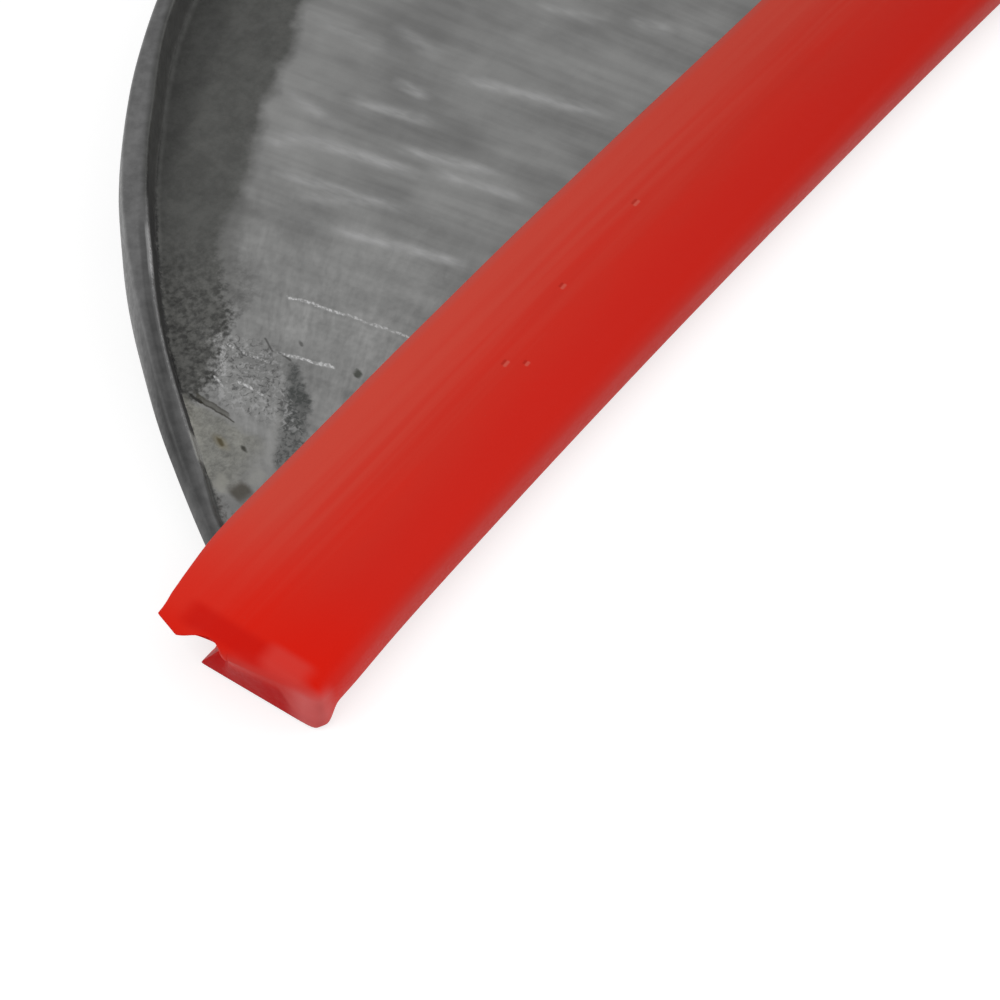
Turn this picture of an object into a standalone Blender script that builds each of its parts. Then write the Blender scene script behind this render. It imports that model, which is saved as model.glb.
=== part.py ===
"""Grass sickle with a push-on edge guard, at real size in metres, +Z up.

A right-handed sickle lying as it would on a bench: the smooth underside of the blade faces down,
the raised back rib faces up, and the handle falls away from the cranked neck to rest on its butt.
The blade, its rib, neck and tang are one forging. The plan shape comes from two chains of arcs
that leave the blunt nose in opposite directions: the cutting edge and the back.
Sizes are named in millimetres and turned into metres by MM.
"""

import math

import bmesh
import bpy
from mathutils import Matrix, Vector

MM = 0.001

# Plan of the blade, seen from above: (radius, length) of each arc from the nose to the heel.
# A negative radius turns to the right. X runs across the handle and Y along it.
EDGE_HEADING = math.radians(-3.4)
EDGE_ARCS = [(-1200, 74), (-240, 30), (-112, 165), (-150, 40)]
BACK_HEADING = math.radians(58.8)
BACK_ARCS = [(-129, 13), (-101, 22), (-57, 40), (-216, 50), (-146, 276)]
NOSE_RADIUS = 3.9

# Thickness of the forging, above its flat underside.
EDGE_THICKNESS = 0.4
BEVEL_WIDTH = 7
BEVEL_THICKNESS = 1.0
WEB_THICKNESS = 1.6
WEB_THICKNESS_AT_NOSE = 1.1
RIB_TOP_OUTER = 0.5
RIB_TOP_INNER = 1.65
RIB_FOOT = 2.4
RIB_HEIGHT_AT_NOSE = 0.2
RIB_HEIGHT = 2.6
RIB_RISE_FROM = 12
RIB_RISE_LENGTH = 24
RIB_EXTRA_AT_HEEL = 2.2
RIB_FILLET_WIDTH = 0.3
RIB_FILLET_SHARE = 0.12
BACK_CORNER = 0.5
BACK_LEAN = 0.1
BACK_LEAN_SHARE = 0.6
EDGE_LIFT = 0.1
# The most that the rib and the bevel take of the blade's width, where it narrows to the nose.
RIB_SHARE = 0.34
BEVEL_SHARE = 0.36
# Sections of the blade: their number, where the first lies, and how they crowd towards the nose.
BLADE_SECTIONS = 65
FIRST_SECTION = 0.05
SECTION_CROWDING = 1.6

# Neck and tang. The neck leaves the heel from under the rib. A squareness of 2 is an ellipse, and
# more than 2 is a rectangle with ever tighter corners.
NECK_FROM_BACK = 7
NECK_LIFT_AT_HEEL = 3.4
NECK_LEAVE = 22
NECK_ARRIVE = 26
SHOULDER_LENGTH = 30
NECK_WIDTH = 10.5
NECK_THICKNESS = 8
NECK_SECTIONS = 20
FORGED_SQUARENESS = 4
ROUND = 2
TANG_STARTS = 9
TANG_WIDTH = 8.6
TANG_THICKNESS = 6.8
TANG_MIDDLE = 70
TANG_MIDDLE_WIDTH = 7
TANG_MIDDLE_THICKNESS = 5.8
TANG_ROUND_FOR = 12
TANG_END_RADIUS = 2.6
PEENED_HEAD_RADIUS = 4.4
PEENED_HEAD_HEIGHT = 1.8
PEENED_HEAD_RIM = 0.7
PEENED_CROWN_RADIUS = 2.4

# Handle axis: where the ferrule's front sits in plan and above the bench. The axis falls towards the
# butt until the handle's widest part there rests on the bench.
FERRULE_FRONT = Vector((158, -246, 25))
HANDLE_LENGTH = 135
BUTT_RADIUS = 15.8
BUTT_AT = 123
BUTT_CLEARANCE = 0.1
HANDLE_FALL = math.asin((FERRULE_FRONT.z - BUTT_RADIUS - BUTT_CLEARANCE) / BUTT_AT)
SPIGOT_RADIUS = 11.2
FERRULE_INNER_RADIUS = 11.5
FERRULE_OUTER_RADIUS = 12.5
FERRULE_LENGTH = 18
BORE_FRONT_RADIUS = 6.2
BORE_BUTT_RADIUS = 3.2
WASHER_RADIUS = 8
WASHER_THICKNESS = 1.2
NAIL_RADIUS = 0.9
NAIL_HEAD_RADIUS = 2.0
NAIL_HEAD_HEIGHT = 0.9
NAIL_TIP = 7.2
NAIL_POINT = 1.6
NAIL_AT = 9

# Edge guard: a soft channel with a long upper leg, a shorter lower leg and a closed end.
GUARD_WALL = 0.95
GUARD_WEB = 1.3
GUARD_SLOT = 2.0
GUARD_UPPER_LEG = 12.8
GUARD_LOWER_LEG = 9.0
GUARD_OVERHANG = 6.1
GUARD_END_WALL = 1.2
GUARD_END_TAPER = 0.8
GUARD_END_TAPER_LENGTH = 5.5
GUARD_POINT_STEP = 4.4
GUARD_STOPS_BEFORE_HEEL = 6
GUARD_SIDE_ROUNDING = 1.6
GUARD_LIP_ROUNDING = 0.8
GUARD_CORNER_RADIUS = 1.5

# The closed end, as distances from it (negative is beyond it) and across from the cutting edge. The
# upper leg runs out past the end wall as a thin flap, with a corner, a point and a notch.
END_FACE = 0.25
FLAP_CORNER = -0.3
FLAP_POINT = (-0.9, 8.4)
NOTCH_CENTRE = (-2.3, 6.6)
NOTCH_RADIUS = 2.1

# Pieces that touch on the real tool are kept this far apart. A cutter runs past what it cuts.
GAP = 0.3
PAST = 5
UNDERSIDE = GUARD_WALL + GAP
GUARD_HEIGHT = 2 * GUARD_WALL + GUARD_SLOT

STEEL = ("forged_steel", (0.30, 0.30, 0.29), 0.45, 1.0)
BRIGHT_STEEL = ("bright_steel", (0.55, 0.55, 0.54), 0.35, 1.0)
BEECH = ("beech", (0.62, 0.40, 0.21), 0.5, 0.0)
RED_PLASTIC = ("red_plastic", (0.60, 0.03, 0.02), 0.4, 0.0)


def clear_scene():
    """Start from nothing, keeping the file that holds this script open."""
    for obj in list(bpy.data.objects):
        bpy.data.objects.remove(obj)


def collection(name):
    """Give a collection of this name, linked to the scene."""
    found = bpy.data.collections.get(name) or bpy.data.collections.new(name)
    if name not in bpy.context.scene.collection.children:
        bpy.context.scene.collection.children.link(found)
    return found


def material(look):
    """Give the Principled material of a (name, colour, roughness, metallic) look."""
    name, colour, roughness, metallic = look
    made = bpy.data.materials.get(name)
    if made:
        return made
    made = bpy.data.materials.new(name)
    made.use_nodes = True
    shader = made.node_tree.nodes["Principled BSDF"]
    shader.inputs["Base Color"].default_value = (*colour, 1)
    shader.inputs["Roughness"].default_value = roughness
    shader.inputs["Metallic"].default_value = metallic
    return made


def add_object(name, data, look, parent=None):
    """Link an object for a sub-part, with its material and parent."""
    obj = bpy.data.objects.new(name, data)
    data.materials.append(material(look))
    collection("grass_sickle").objects.link(obj)
    obj.parent = parent
    return obj


def smooth(x):
    """Ease from 0 to 1 as x goes from 0 to 1, and stay there beyond."""
    x = min(1, max(0, x))
    return x * x * (3 - 2 * x)


def direction(angle):
    """Unit vector in plan at an angle from +X."""
    return Vector((math.cos(angle), math.sin(angle), 0))


def along(chain, distance):
    """Point and heading at a distance along a chain of arcs."""
    start, heading, arcs = chain
    point = start.copy()
    for radius, length in arcs:
        step = min(distance, length)
        turn = step / radius
        point.x += radius * (math.sin(heading + turn) - math.sin(heading))
        point.y += radius * (math.cos(heading) - math.cos(heading + turn))
        heading += turn
        distance -= step
        if distance <= 0:
            break
    return point, heading


def chain_length(chain):
    """Whole length of a chain of arcs."""
    return sum(length for _, length in chain[2])


def blade_chains():
    """The cutting edge and the back, both as chains that start at the apex of the round nose."""
    centre = NOSE_RADIUS * direction(EDGE_HEADING + math.pi / 2)
    at_edge = EDGE_HEADING + 1.5 * math.pi
    at_back = BACK_HEADING + 0.5 * math.pi
    at_apex = (at_edge + at_back) / 2
    apex = centre + NOSE_RADIUS * direction(at_apex)
    nose_arc = NOSE_RADIUS * (at_edge - at_back) / 2
    edge = (apex, at_apex + math.pi / 2, [(NOSE_RADIUS, nose_arc)] + EDGE_ARCS)
    back = (apex, at_apex - math.pi / 2, [(-NOSE_RADIUS, nose_arc)] + BACK_ARCS)
    return edge, back


EDGE, BACK = blade_chains()


def blade_ring(share):
    """Section of the blade at a share of the way from nose to heel, as points round the forging."""
    edge, _ = along(EDGE, share * chain_length(EDGE))
    distance = share * chain_length(BACK)
    back, heading = along(BACK, distance)
    inward = direction(heading - math.pi / 2)
    across = (edge - back).normalized()
    reach = (edge - back).length
    rib = min(1, RIB_SHARE * reach / RIB_FOOT)
    bevel = min(BEVEL_WIDTH, BEVEL_SHARE * reach)
    rise = smooth((distance - RIB_RISE_FROM) / RIB_RISE_LENGTH)
    web = WEB_THICKNESS_AT_NOSE + (WEB_THICKNESS - WEB_THICKNESS_AT_NOSE) * rise
    height = web + RIB_HEIGHT_AT_NOSE + RIB_HEIGHT * rise
    height += RIB_EXTRA_AT_HEEL * smooth(distance / chain_length(BACK))
    foot = back + rib * RIB_FOOT * inward
    bevel_start = edge - bevel * across
    fillet = back + rib * (RIB_TOP_INNER + RIB_FILLET_WIDTH) * inward
    plan_and_height = [
        (back, BACK_CORNER),
        (back + BACK_CORNER * rib * inward, 0),
        ((back + edge) / 2, 0),
        (bevel_start, 0),
        (edge, EDGE_LIFT),
        (edge, EDGE_THICKNESS),
        (bevel_start, BEVEL_THICKNESS),
        ((foot + bevel_start) / 2, (BEVEL_THICKNESS + web) / 2),
        (foot, web),
        (fillet, web + RIB_FILLET_SHARE * (height - web)),
        (back + rib * RIB_TOP_INNER * inward, height),
        (back + rib * RIB_TOP_OUTER * inward, height),
        (back + rib * BACK_LEAN * inward, BACK_LEAN_SHARE * height),
    ]
    return [point + Vector((0, 0, UNDERSIDE + z)) for point, z in plan_and_height]


def bar_section(width, thickness, squareness):
    """Section of the neck or tang in its own plane, with one point for each point of the blade's section."""
    section = []
    for degrees in (200, 235, 270, 315, 350, 10, 45, 70, 95, 110, 125, 150, 175):
        c, s = math.cos(math.radians(degrees)), math.sin(math.radians(degrees))
        a = math.copysign(abs(c) ** (2 / squareness), c) * width / 2
        b = math.copysign(abs(s) ** (2 / squareness), s) * thickness / 2
        section.append((a, b))
    return section


def handle_direction():
    """Unit vector along the handle, from the ferrule to the butt."""
    return Vector((0, -math.cos(HANDLE_FALL), -math.sin(HANDLE_FALL)))


def neck_point(share):
    """Centre line of the cranked neck and its direction, as a Bezier curve from heel to ferrule."""
    back, heading = along(BACK, chain_length(BACK))
    start = back + NECK_FROM_BACK * direction(heading - math.pi / 2)
    start.z = UNDERSIDE + NECK_LIFT_AT_HEEL
    leave = start + NECK_LEAVE * direction(heading)
    arrive = FERRULE_FRONT - NECK_ARRIVE * handle_direction()
    stops = (start, leave, arrive, FERRULE_FRONT)
    t, r = share, 1 - share
    point = r**3 * stops[0] + 3 * r * r * t * stops[1] + 3 * r * t * t * stops[2] + t**3 * stops[3]
    slope = r * r * (stops[1] - stops[0]) + 2 * r * t * (stops[2] - stops[1]) + t * t * (stops[3] - stops[2])
    return point, slope.normalized()


def square_to(forward):
    """The across and up directions square to a direction of the forging."""
    across = forward.cross(Vector((0, 0, 1))).normalized()
    return across, across.cross(forward)


def framed_ring(centre, forward, section):
    """Put a section's (across, up) points square to the forging's direction."""
    across, up = square_to(forward)
    return [centre + a * across + b * up for a, b in section]


def neck_rings():
    """Sections from the heel of the blade, round the crank, to the front of the ferrule."""
    centre, forward = neck_point(0)
    across, up = square_to(forward)
    heel = [(p - centre) for p in blade_ring(1)]
    neck_section = bar_section(NECK_WIDTH, NECK_THICKNESS, FORGED_SQUARENESS)
    neck_length = (neck_point(1)[0] - centre).length
    rings = []
    for step in range(1, NECK_SECTIONS + 1):
        share = step / NECK_SECTIONS
        blend = smooth(share * neck_length / SHOULDER_LENGTH)
        section = [
            (p.dot(across) * (1 - blend) + a * blend, p.dot(up) * (1 - blend) + b * blend)
            for p, (a, b) in zip(heel, neck_section)
        ]
        centre_here, forward_here = neck_point(share)
        ring = framed_ring(centre_here, forward_here, section)
        rings.append([q + p.dot(forward) * (1 - blend) * forward_here for q, p in zip(ring, heel)])
    return rings


def tang_rings():
    """Sections of the tang through the handle, ending in the head peened over the washer."""
    along_handle = handle_direction()
    head = HANDLE_LENGTH + GAP + WASHER_THICKNESS + GAP
    end_width = 2 * TANG_END_RADIUS
    head_width = 2 * PEENED_HEAD_RADIUS
    crown_width = 2 * PEENED_CROWN_RADIUS
    stations = [
        (TANG_STARTS, TANG_WIDTH, TANG_THICKNESS, FORGED_SQUARENESS),
        (TANG_MIDDLE, TANG_MIDDLE_WIDTH, TANG_MIDDLE_THICKNESS, FORGED_SQUARENESS),
        (HANDLE_LENGTH - TANG_ROUND_FOR, end_width, end_width, ROUND),
        (head, end_width, end_width, ROUND),
        (head + 0.2, head_width, head_width, ROUND),
        (head + 0.2 + PEENED_HEAD_RIM, 0.93 * head_width, 0.93 * head_width, ROUND),
        (head + PEENED_HEAD_HEIGHT, crown_width, crown_width, ROUND),
    ]
    rings = []
    for distance, width, thickness, squareness in stations:
        centre = FERRULE_FRONT + distance * along_handle
        rings.append(framed_ring(centre, along_handle, bar_section(width, thickness, squareness)))
    return rings


def loft(name, rings):
    """Skin a closed mesh over rings of equal count, with a cap at each end. The rings are in millimetres."""
    bm = bmesh.new()
    rows = [[bm.verts.new(MM * p) for p in ring] for ring in rings]
    for row, following in zip(rows, rows[1:]):
        for k in range(len(row)):
            j = (k + 1) % len(row)
            bm.faces.new((row[k], row[j], following[j], following[k]))
    bm.faces.new(rows[0])
    bm.faces.new(rows[-1])
    bmesh.ops.recalc_face_normals(bm, faces=bm.faces)
    mesh = bpy.data.meshes.new(name)
    bm.to_mesh(mesh)
    bm.free()
    mesh.shade_smooth()
    mesh.set_sharp_from_angle(angle=math.radians(35))
    return mesh


def make_blade(parent):
    """The forging: blade, back rib, cranked neck and tang in one piece."""
    shares = []
    for k in range(BLADE_SECTIONS):
        even = FIRST_SECTION + (1 - FIRST_SECTION) * k / (BLADE_SECTIONS - 1)
        shares.append(even**SECTION_CROWDING)
    rings = [blade_ring(share) for share in shares] + neck_rings() + tang_rings()
    return add_object("blade", loft("blade", rings), STEEL, parent)


def filled_outline(name, points, low, high):
    """A flat outline in plan, in millimetres, thickened from one height to another, as a mesh object."""
    curve = bpy.data.curves.new(name, "CURVE")
    curve.dimensions = "2D"
    curve.fill_mode = "BOTH"
    curve.extrude = MM * (high - low) / 2
    spline = curve.splines.new("POLY")
    spline.points.add(len(points) - 1)
    for target, point in zip(spline.points, points):
        target.co = (MM * point.x, MM * point.y, 0, 1)
    spline.use_cyclic_u = True
    drawn = bpy.data.objects.new(name + "_outline", curve)
    drawn.location.z = MM * (low + high) / 2
    bpy.context.scene.collection.objects.link(drawn)
    bpy.context.view_layer.update()
    graph = bpy.context.evaluated_depsgraph_get()
    mesh = bpy.data.meshes.new_from_object(drawn.evaluated_get(graph))
    bm = bmesh.new()
    bm.from_mesh(mesh)
    bmesh.ops.remove_doubles(bm, verts=bm.verts, dist=0.00001)
    bmesh.ops.dissolve_limit(bm, angle_limit=0.001, verts=bm.verts, edges=bm.edges)
    bmesh.ops.recalc_face_normals(bm, faces=bm.faces)
    bm.to_mesh(mesh)
    bm.free()
    mesh.name = name
    mesh.transform(drawn.matrix_world)
    bpy.data.objects.remove(drawn)
    return mesh


def as_cutter(name, mesh, parent=None):
    """Keep a mesh as a hidden Boolean cutter."""
    obj = bpy.data.objects.new(name, mesh)
    collection("cutters").objects.link(obj)
    obj.hide_render = True
    obj.display_type = "WIRE"
    obj.parent = parent
    return obj


def cut(obj, cutter):
    """Take a cutter's shape out of an object."""
    modifier = obj.modifiers.new("cut_" + cutter.name, "BOOLEAN")
    modifier.operation = "DIFFERENCE"
    modifier.solver = "EXACT"
    modifier.object = cutter


def guard_chain():
    """The line of the cutting edge, run on past the nose to the closed end of the guard."""
    start = -GUARD_OVERHANG * direction(EDGE_HEADING)
    straight = 1e6
    return (start, EDGE_HEADING, [(straight, GUARD_OVERHANG)] + EDGE_ARCS)


def guard_line(offset, start, stop):
    """Points at an offset from the cutting edge towards the back; a negative offset lies in the bay."""
    chain = guard_chain()
    count = max(1, round((stop - start) / GUARD_POINT_STEP))
    points = []
    for k in range(count + 1):
        point, heading = along(chain, start + (stop - start) * k / count)
        points.append(point + offset * direction(heading + math.pi / 2))
    return points


def at_guard_end(beyond, across):
    """A point in plan, so far along from the guard's end (negative is beyond it) and across from the edge."""
    end, heading = along(guard_chain(), 0)
    return end + beyond * direction(heading) + across * direction(heading + math.pi / 2)


def guard_outline(face, upper, stop):
    """Plan outline of the guard, and how many of its points run along the rounded closed side."""
    corner = []
    for k in range(5):
        angle = math.pi + math.radians(90 * k / 4)
        corner.append(
            at_guard_end(
                GUARD_CORNER_RADIUS * (1 + math.cos(angle)),
                face + GUARD_CORNER_RADIUS * (1 + math.sin(angle)),
            )
        )
    closed_side = corner + guard_line(face, 2.5 * GUARD_CORNER_RADIUS, stop)
    lip = guard_line(upper, GUARD_END_TAPER_LENGTH, stop)[::-1]
    end = [at_guard_end(FLAP_CORNER, upper - GUARD_END_TAPER), at_guard_end(*FLAP_POINT)]
    return closed_side + lip + end, len(closed_side)


def round_guard(guard, outline, closed_count):
    """Round the closed side fully and the lips less, through one Bevel with a weight on each edge."""
    mesh = guard.data
    closed_side = [MM * p.xy for p in outline[:closed_count]]
    on_closed_side = [min((v.co.xy - p).length for p in closed_side) < 0.01 * MM for v in mesh.vertices]
    weights = mesh.attributes.new("bevel_weight_edge", "FLOAT", "EDGE")
    for edge in mesh.edges:
        a, b = edge.vertices
        level = abs(mesh.vertices[a].co.z - mesh.vertices[b].co.z) < 0.01 * MM
        side = on_closed_side[a] and on_closed_side[b]
        if level:
            weights.data[edge.index].value = 1 if side else GUARD_LIP_ROUNDING / GUARD_SIDE_ROUNDING
    rounding = guard.modifiers.new("rounding", "BEVEL")
    rounding.width = MM * GUARD_SIDE_ROUNDING
    rounding.segments = 3
    rounding.limit_method = "WEIGHT"


def make_guard(parent):
    """The red edge guard, cut from a flat band: a slot for the blade, a short lower leg and a notch."""
    stop = chain_length(guard_chain()) - GUARD_STOPS_BEFORE_HEEL
    face = -(GUARD_WEB + GAP)
    upper = GUARD_UPPER_LEG + face
    lower = GUARD_LOWER_LEG + face
    outline, closed_count = guard_outline(face, upper, stop)
    band = filled_outline("edge_guard", outline, 0, GUARD_HEIGHT)
    guard = add_object("edge_guard", band, RED_PLASTIC, parent)
    round_guard(guard, outline, closed_count)

    beyond = upper + PAST
    past_stop = stop + PAST
    slot = guard_line(-GAP, GUARD_END_WALL, past_stop) + guard_line(beyond, GUARD_END_WALL, past_stop)[::-1]
    slot_mesh = filled_outline("slot", slot, GUARD_WALL, GUARD_WALL + GUARD_SLOT)
    cut(guard, as_cutter("blade_slot", slot_mesh, parent))

    past_end = [at_guard_end(-PAST, face - PAST), at_guard_end(END_FACE, face - PAST)]
    trim = past_end + guard_line(lower, END_FACE, past_stop) + guard_line(beyond, -PAST, past_stop)[::-1]
    trim_mesh = filled_outline("trim", trim, -PAST, GUARD_WALL + GUARD_SLOT)
    cut(guard, as_cutter("lower_leg_trim", trim_mesh, parent))

    notch = cone_cutter("end_notch", NOTCH_RADIUS, NOTCH_RADIUS, -PAST, GUARD_HEIGHT + PAST, parent)
    notch.location = MM * at_guard_end(*NOTCH_CENTRE)
    cut(guard, notch)
    return guard


def turned(name, profile, look, parent, steps=32):
    """A turned solid from a profile of (radius, distance along the axis), listed from the butt end forwards.

    A profile that stays off the axis closes on itself, as a ring does."""
    mesh = bpy.data.meshes.new(name)
    verts = [(MM * r, 0, MM * z) for r, z in profile]
    edges = [(k, k + 1) for k in range(len(verts) - 1)]
    if profile[0][0] > 0:
        edges.append((len(verts) - 1, 0))
    mesh.from_pydata(verts, edges, [])
    obj = add_object(name, mesh, look, parent)
    screw = obj.modifiers.new("turn", "SCREW")
    screw.steps = screw.render_steps = steps
    screw.use_merge_vertices = True
    screw.merge_threshold = 0.00001
    return obj


def cone_cutter(name, front_radius, back_radius, start, stop, parent, segments=24):
    """A cutter for a round or tapered hole along the parent's Z axis."""
    bm = bmesh.new()
    bmesh.ops.create_cone(
        bm,
        cap_ends=True,
        segments=segments,
        radius1=MM * front_radius,
        radius2=MM * back_radius,
        depth=MM * (stop - start),
    )
    mesh = bpy.data.meshes.new(name)
    bm.to_mesh(mesh)
    bm.free()
    mesh.transform(Matrix.Translation((0, 0, MM * (start + stop) / 2)))
    return as_cutter(name, mesh, parent)


def make_handle(axis):
    """Turned beech handle with a spigot for the ferrule, a palm swell and a flared butt."""
    profile = [
        (0, HANDLE_LENGTH),
        (9.0, HANDLE_LENGTH),
        (11.8, HANDLE_LENGTH - 1.2),
        (14.2, HANDLE_LENGTH - 3.8),
        (15.6, HANDLE_LENGTH - 8),
        (BUTT_RADIUS, BUTT_AT),
        (15.0, HANDLE_LENGTH - 17),
        (13.7, HANDLE_LENGTH - 23),
        (13.1, HANDLE_LENGTH - 30),
        (13.4, HANDLE_LENGTH - 38),
        (14.4, HANDLE_LENGTH - 50),
        (15.1, HANDLE_LENGTH - 62),
        (15.2, HANDLE_LENGTH - 72),
        (14.6, HANDLE_LENGTH - 84),
        (13.5, HANDLE_LENGTH - 96),
        (12.8, HANDLE_LENGTH - 105),
        (12.7, HANDLE_LENGTH - 112),
        (12.2, FERRULE_LENGTH + GAP),
        (SPIGOT_RADIUS, FERRULE_LENGTH + GAP),
        (SPIGOT_RADIUS, 1.6),
        (SPIGOT_RADIUS - 0.8, 0.8),
        (0, 0.8),
    ]
    handle = turned("handle", profile, BEECH, axis)
    bore = cone_cutter("tang_bore", BORE_FRONT_RADIUS, BORE_BUTT_RADIUS, -PAST, HANDLE_LENGTH + PAST, axis)
    cut(handle, bore)
    return handle


def make_ferrule(axis):
    """Steel ring pressed on the handle's spigot, with its front edge turned in."""
    front_lip = FERRULE_INNER_RADIUS - 1.4
    profile = [
        (FERRULE_OUTER_RADIUS + 0.3, FERRULE_LENGTH),
        (FERRULE_OUTER_RADIUS + 0.3, FERRULE_LENGTH - 1.6),
        (FERRULE_OUTER_RADIUS, FERRULE_LENGTH - 2.2),
        (FERRULE_OUTER_RADIUS, 0.9),
        (FERRULE_OUTER_RADIUS - 0.5, 0.1),
        (FERRULE_OUTER_RADIUS - 1.2, -0.3),
        (front_lip, -0.3),
        (front_lip, 0.4),
        (FERRULE_INNER_RADIUS - 0.4, 0.45),
        (FERRULE_INNER_RADIUS, 1.0),
        (FERRULE_INNER_RADIUS, FERRULE_LENGTH),
    ]
    return turned("ferrule", profile, BRIGHT_STEEL, axis)


def make_nail(axis):
    """Small nail through the side of the ferrule into the beech, which keeps the ferrule on."""
    across = bpy.data.objects.new("nail_axis", None)
    collection("grass_sickle").objects.link(across)
    across.parent = axis
    across.location = (0, 0, MM * NAIL_AT)
    across.rotation_euler = (0, math.pi / 2, 0)
    seat = FERRULE_OUTER_RADIUS + GAP
    profile = [
        (0, seat + NAIL_HEAD_HEIGHT),
        (0.5 * NAIL_HEAD_RADIUS, seat + 0.8 * NAIL_HEAD_HEIGHT),
        (0.85 * NAIL_HEAD_RADIUS, seat + 0.45 * NAIL_HEAD_HEIGHT),
        (NAIL_HEAD_RADIUS, seat),
        (NAIL_RADIUS, seat),
        (NAIL_RADIUS, NAIL_TIP + NAIL_POINT),
        (0, NAIL_TIP),
    ]
    nail = turned("ferrule_nail", profile, BRIGHT_STEEL, across, steps=20)
    hole_radius = NAIL_RADIUS + GAP
    hole = cone_cutter("nail_hole", hole_radius, hole_radius, NAIL_TIP - GAP, seat + PAST, across, 20)
    for pierced in ("handle", "ferrule"):
        cut(bpy.data.objects[pierced], hole)
    return nail


def make_washer(axis):
    """Dished washer on the butt, under the peened end of the tang."""
    seat = HANDLE_LENGTH + GAP
    hole = TANG_END_RADIUS + 0.5
    profile = [
        (hole, seat + WASHER_THICKNESS),
        (WASHER_RADIUS - 0.9, seat + WASHER_THICKNESS),
        (WASHER_RADIUS - 0.2, seat + WASHER_THICKNESS - 0.5),
        (WASHER_RADIUS, seat),
        (hole, seat),
    ]
    return turned("butt_washer", profile, BRIGHT_STEEL, axis)


def stand_on_origin(root):
    """Move the whole sickle so that the middle of its footprint is the origin."""
    bpy.context.view_layer.update()
    graph = bpy.context.evaluated_depsgraph_get()
    corners = []
    for obj in collection("grass_sickle").objects:
        if obj.type == "MESH":
            mesh = obj.evaluated_get(graph).to_mesh()
            corners += [obj.matrix_world @ v.co for v in mesh.vertices]
    low = Vector(min(c[k] for c in corners) for k in range(3))
    high = Vector(max(c[k] for c in corners) for k in range(3))
    root.location = (-(low.x + high.x) / 2, -(low.y + high.y) / 2, -low.z)
    bpy.context.view_layer.update()
    print("sickle size in mm:", [round(v / MM, 2) for v in high - low])
    print("plan origin in mm:", [round(v / MM, 3) for v in root.location])


def build_sickle():
    """Make every sub-part and stand the sickle on the bench."""
    clear_scene()
    root = bpy.data.objects.new("sickle_root", None)
    collection("grass_sickle").objects.link(root)
    slide = bpy.data.objects.new("guard_slide", None)
    collection("grass_sickle").objects.link(slide)
    slide.parent = root
    axis = bpy.data.objects.new("handle_axis", None)
    collection("grass_sickle").objects.link(axis)
    axis.parent = root
    axis.location = MM * FERRULE_FRONT
    axis.rotation_euler = (math.pi / 2 + HANDLE_FALL, 0, 0)
    make_blade(root)
    make_guard(slide)
    make_handle(axis)
    make_ferrule(axis)
    make_nail(axis)
    make_washer(axis)
    stand_on_origin(root)


build_sickle()
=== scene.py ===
# %% [markdown]
# # A grass sickle with its edge guard
# A short hand sickle: a broad forged blade with a raised rib along its back, a cranked neck, a turned
# beech handle held by a steel ferrule, and a red plastic guard pushed over the cutting edge. The scene
# is a close view of the blade's tip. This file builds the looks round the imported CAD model, piece by
# piece, and every piece is made in metres in the CAD's own frame.

# %% Load the frame and keep its box
import math

import bpy
from mathutils import Matrix, Vector


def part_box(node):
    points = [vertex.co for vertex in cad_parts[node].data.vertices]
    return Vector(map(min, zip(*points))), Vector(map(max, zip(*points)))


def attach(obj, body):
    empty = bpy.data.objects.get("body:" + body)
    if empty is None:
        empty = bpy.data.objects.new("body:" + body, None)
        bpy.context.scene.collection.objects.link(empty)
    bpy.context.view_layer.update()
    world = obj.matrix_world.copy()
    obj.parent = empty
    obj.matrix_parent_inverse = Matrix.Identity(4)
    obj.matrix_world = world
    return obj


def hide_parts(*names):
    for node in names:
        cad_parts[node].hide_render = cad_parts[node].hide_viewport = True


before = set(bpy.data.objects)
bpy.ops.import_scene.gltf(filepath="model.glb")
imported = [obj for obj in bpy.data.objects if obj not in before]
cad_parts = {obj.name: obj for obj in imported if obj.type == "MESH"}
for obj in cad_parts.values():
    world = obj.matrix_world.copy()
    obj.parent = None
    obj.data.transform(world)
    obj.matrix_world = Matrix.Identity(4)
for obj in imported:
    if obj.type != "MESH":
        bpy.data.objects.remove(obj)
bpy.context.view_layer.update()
MM = 0.001
print("nodes in the frame:", sorted(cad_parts))

# %% [markdown]
# ## The plan of the blade
# A smith draws the blade out until its plan flows from the blunt nose round the bay. In the CAD model
# that plan is two chains of arcs that leave the nose in opposite directions: the cutting edge and the
# back. Repeating the same arcs lets every mark on the steel, and the guard too, be placed by its
# distance along the blade, in millimetres. `place` turns them into metres in the frame.

# %% Arcs of the cutting edge and the back
EDGE_HEADING = math.radians(-3.4)
EDGE_ARCS = [(-1200, 74), (-240, 30), (-112, 165), (-150, 40)]
BACK_HEADING = math.radians(58.8)
BACK_ARCS = [(-129, 13), (-101, 22), (-57, 40), (-216, 50), (-146, 276)]
NOSE_RADIUS = 3.9


def smooth(x):
    """Ease from 0 to 1 as x goes from 0 to 1."""
    x = min(1, max(0, x))
    return x * x * (3 - 2 * x)


def ramp(at, start, length):
    """Ease from 0 to 1 over a length that begins at a start."""
    return smooth((at - start) / length)


def table(rows, at):
    """Read a value from rows of (place, value), in proportion between them."""
    if at <= rows[0][0]:
        return rows[0][1]
    for (a, low), (b, high) in zip(rows, rows[1:]):
        if at <= b:
            return low + (high - low) * (at - a) / (b - a)
    return rows[-1][1]


def direction(angle):
    """Unit vector in plan at an angle from +X."""
    return Vector((math.cos(angle), math.sin(angle), 0))


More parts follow.
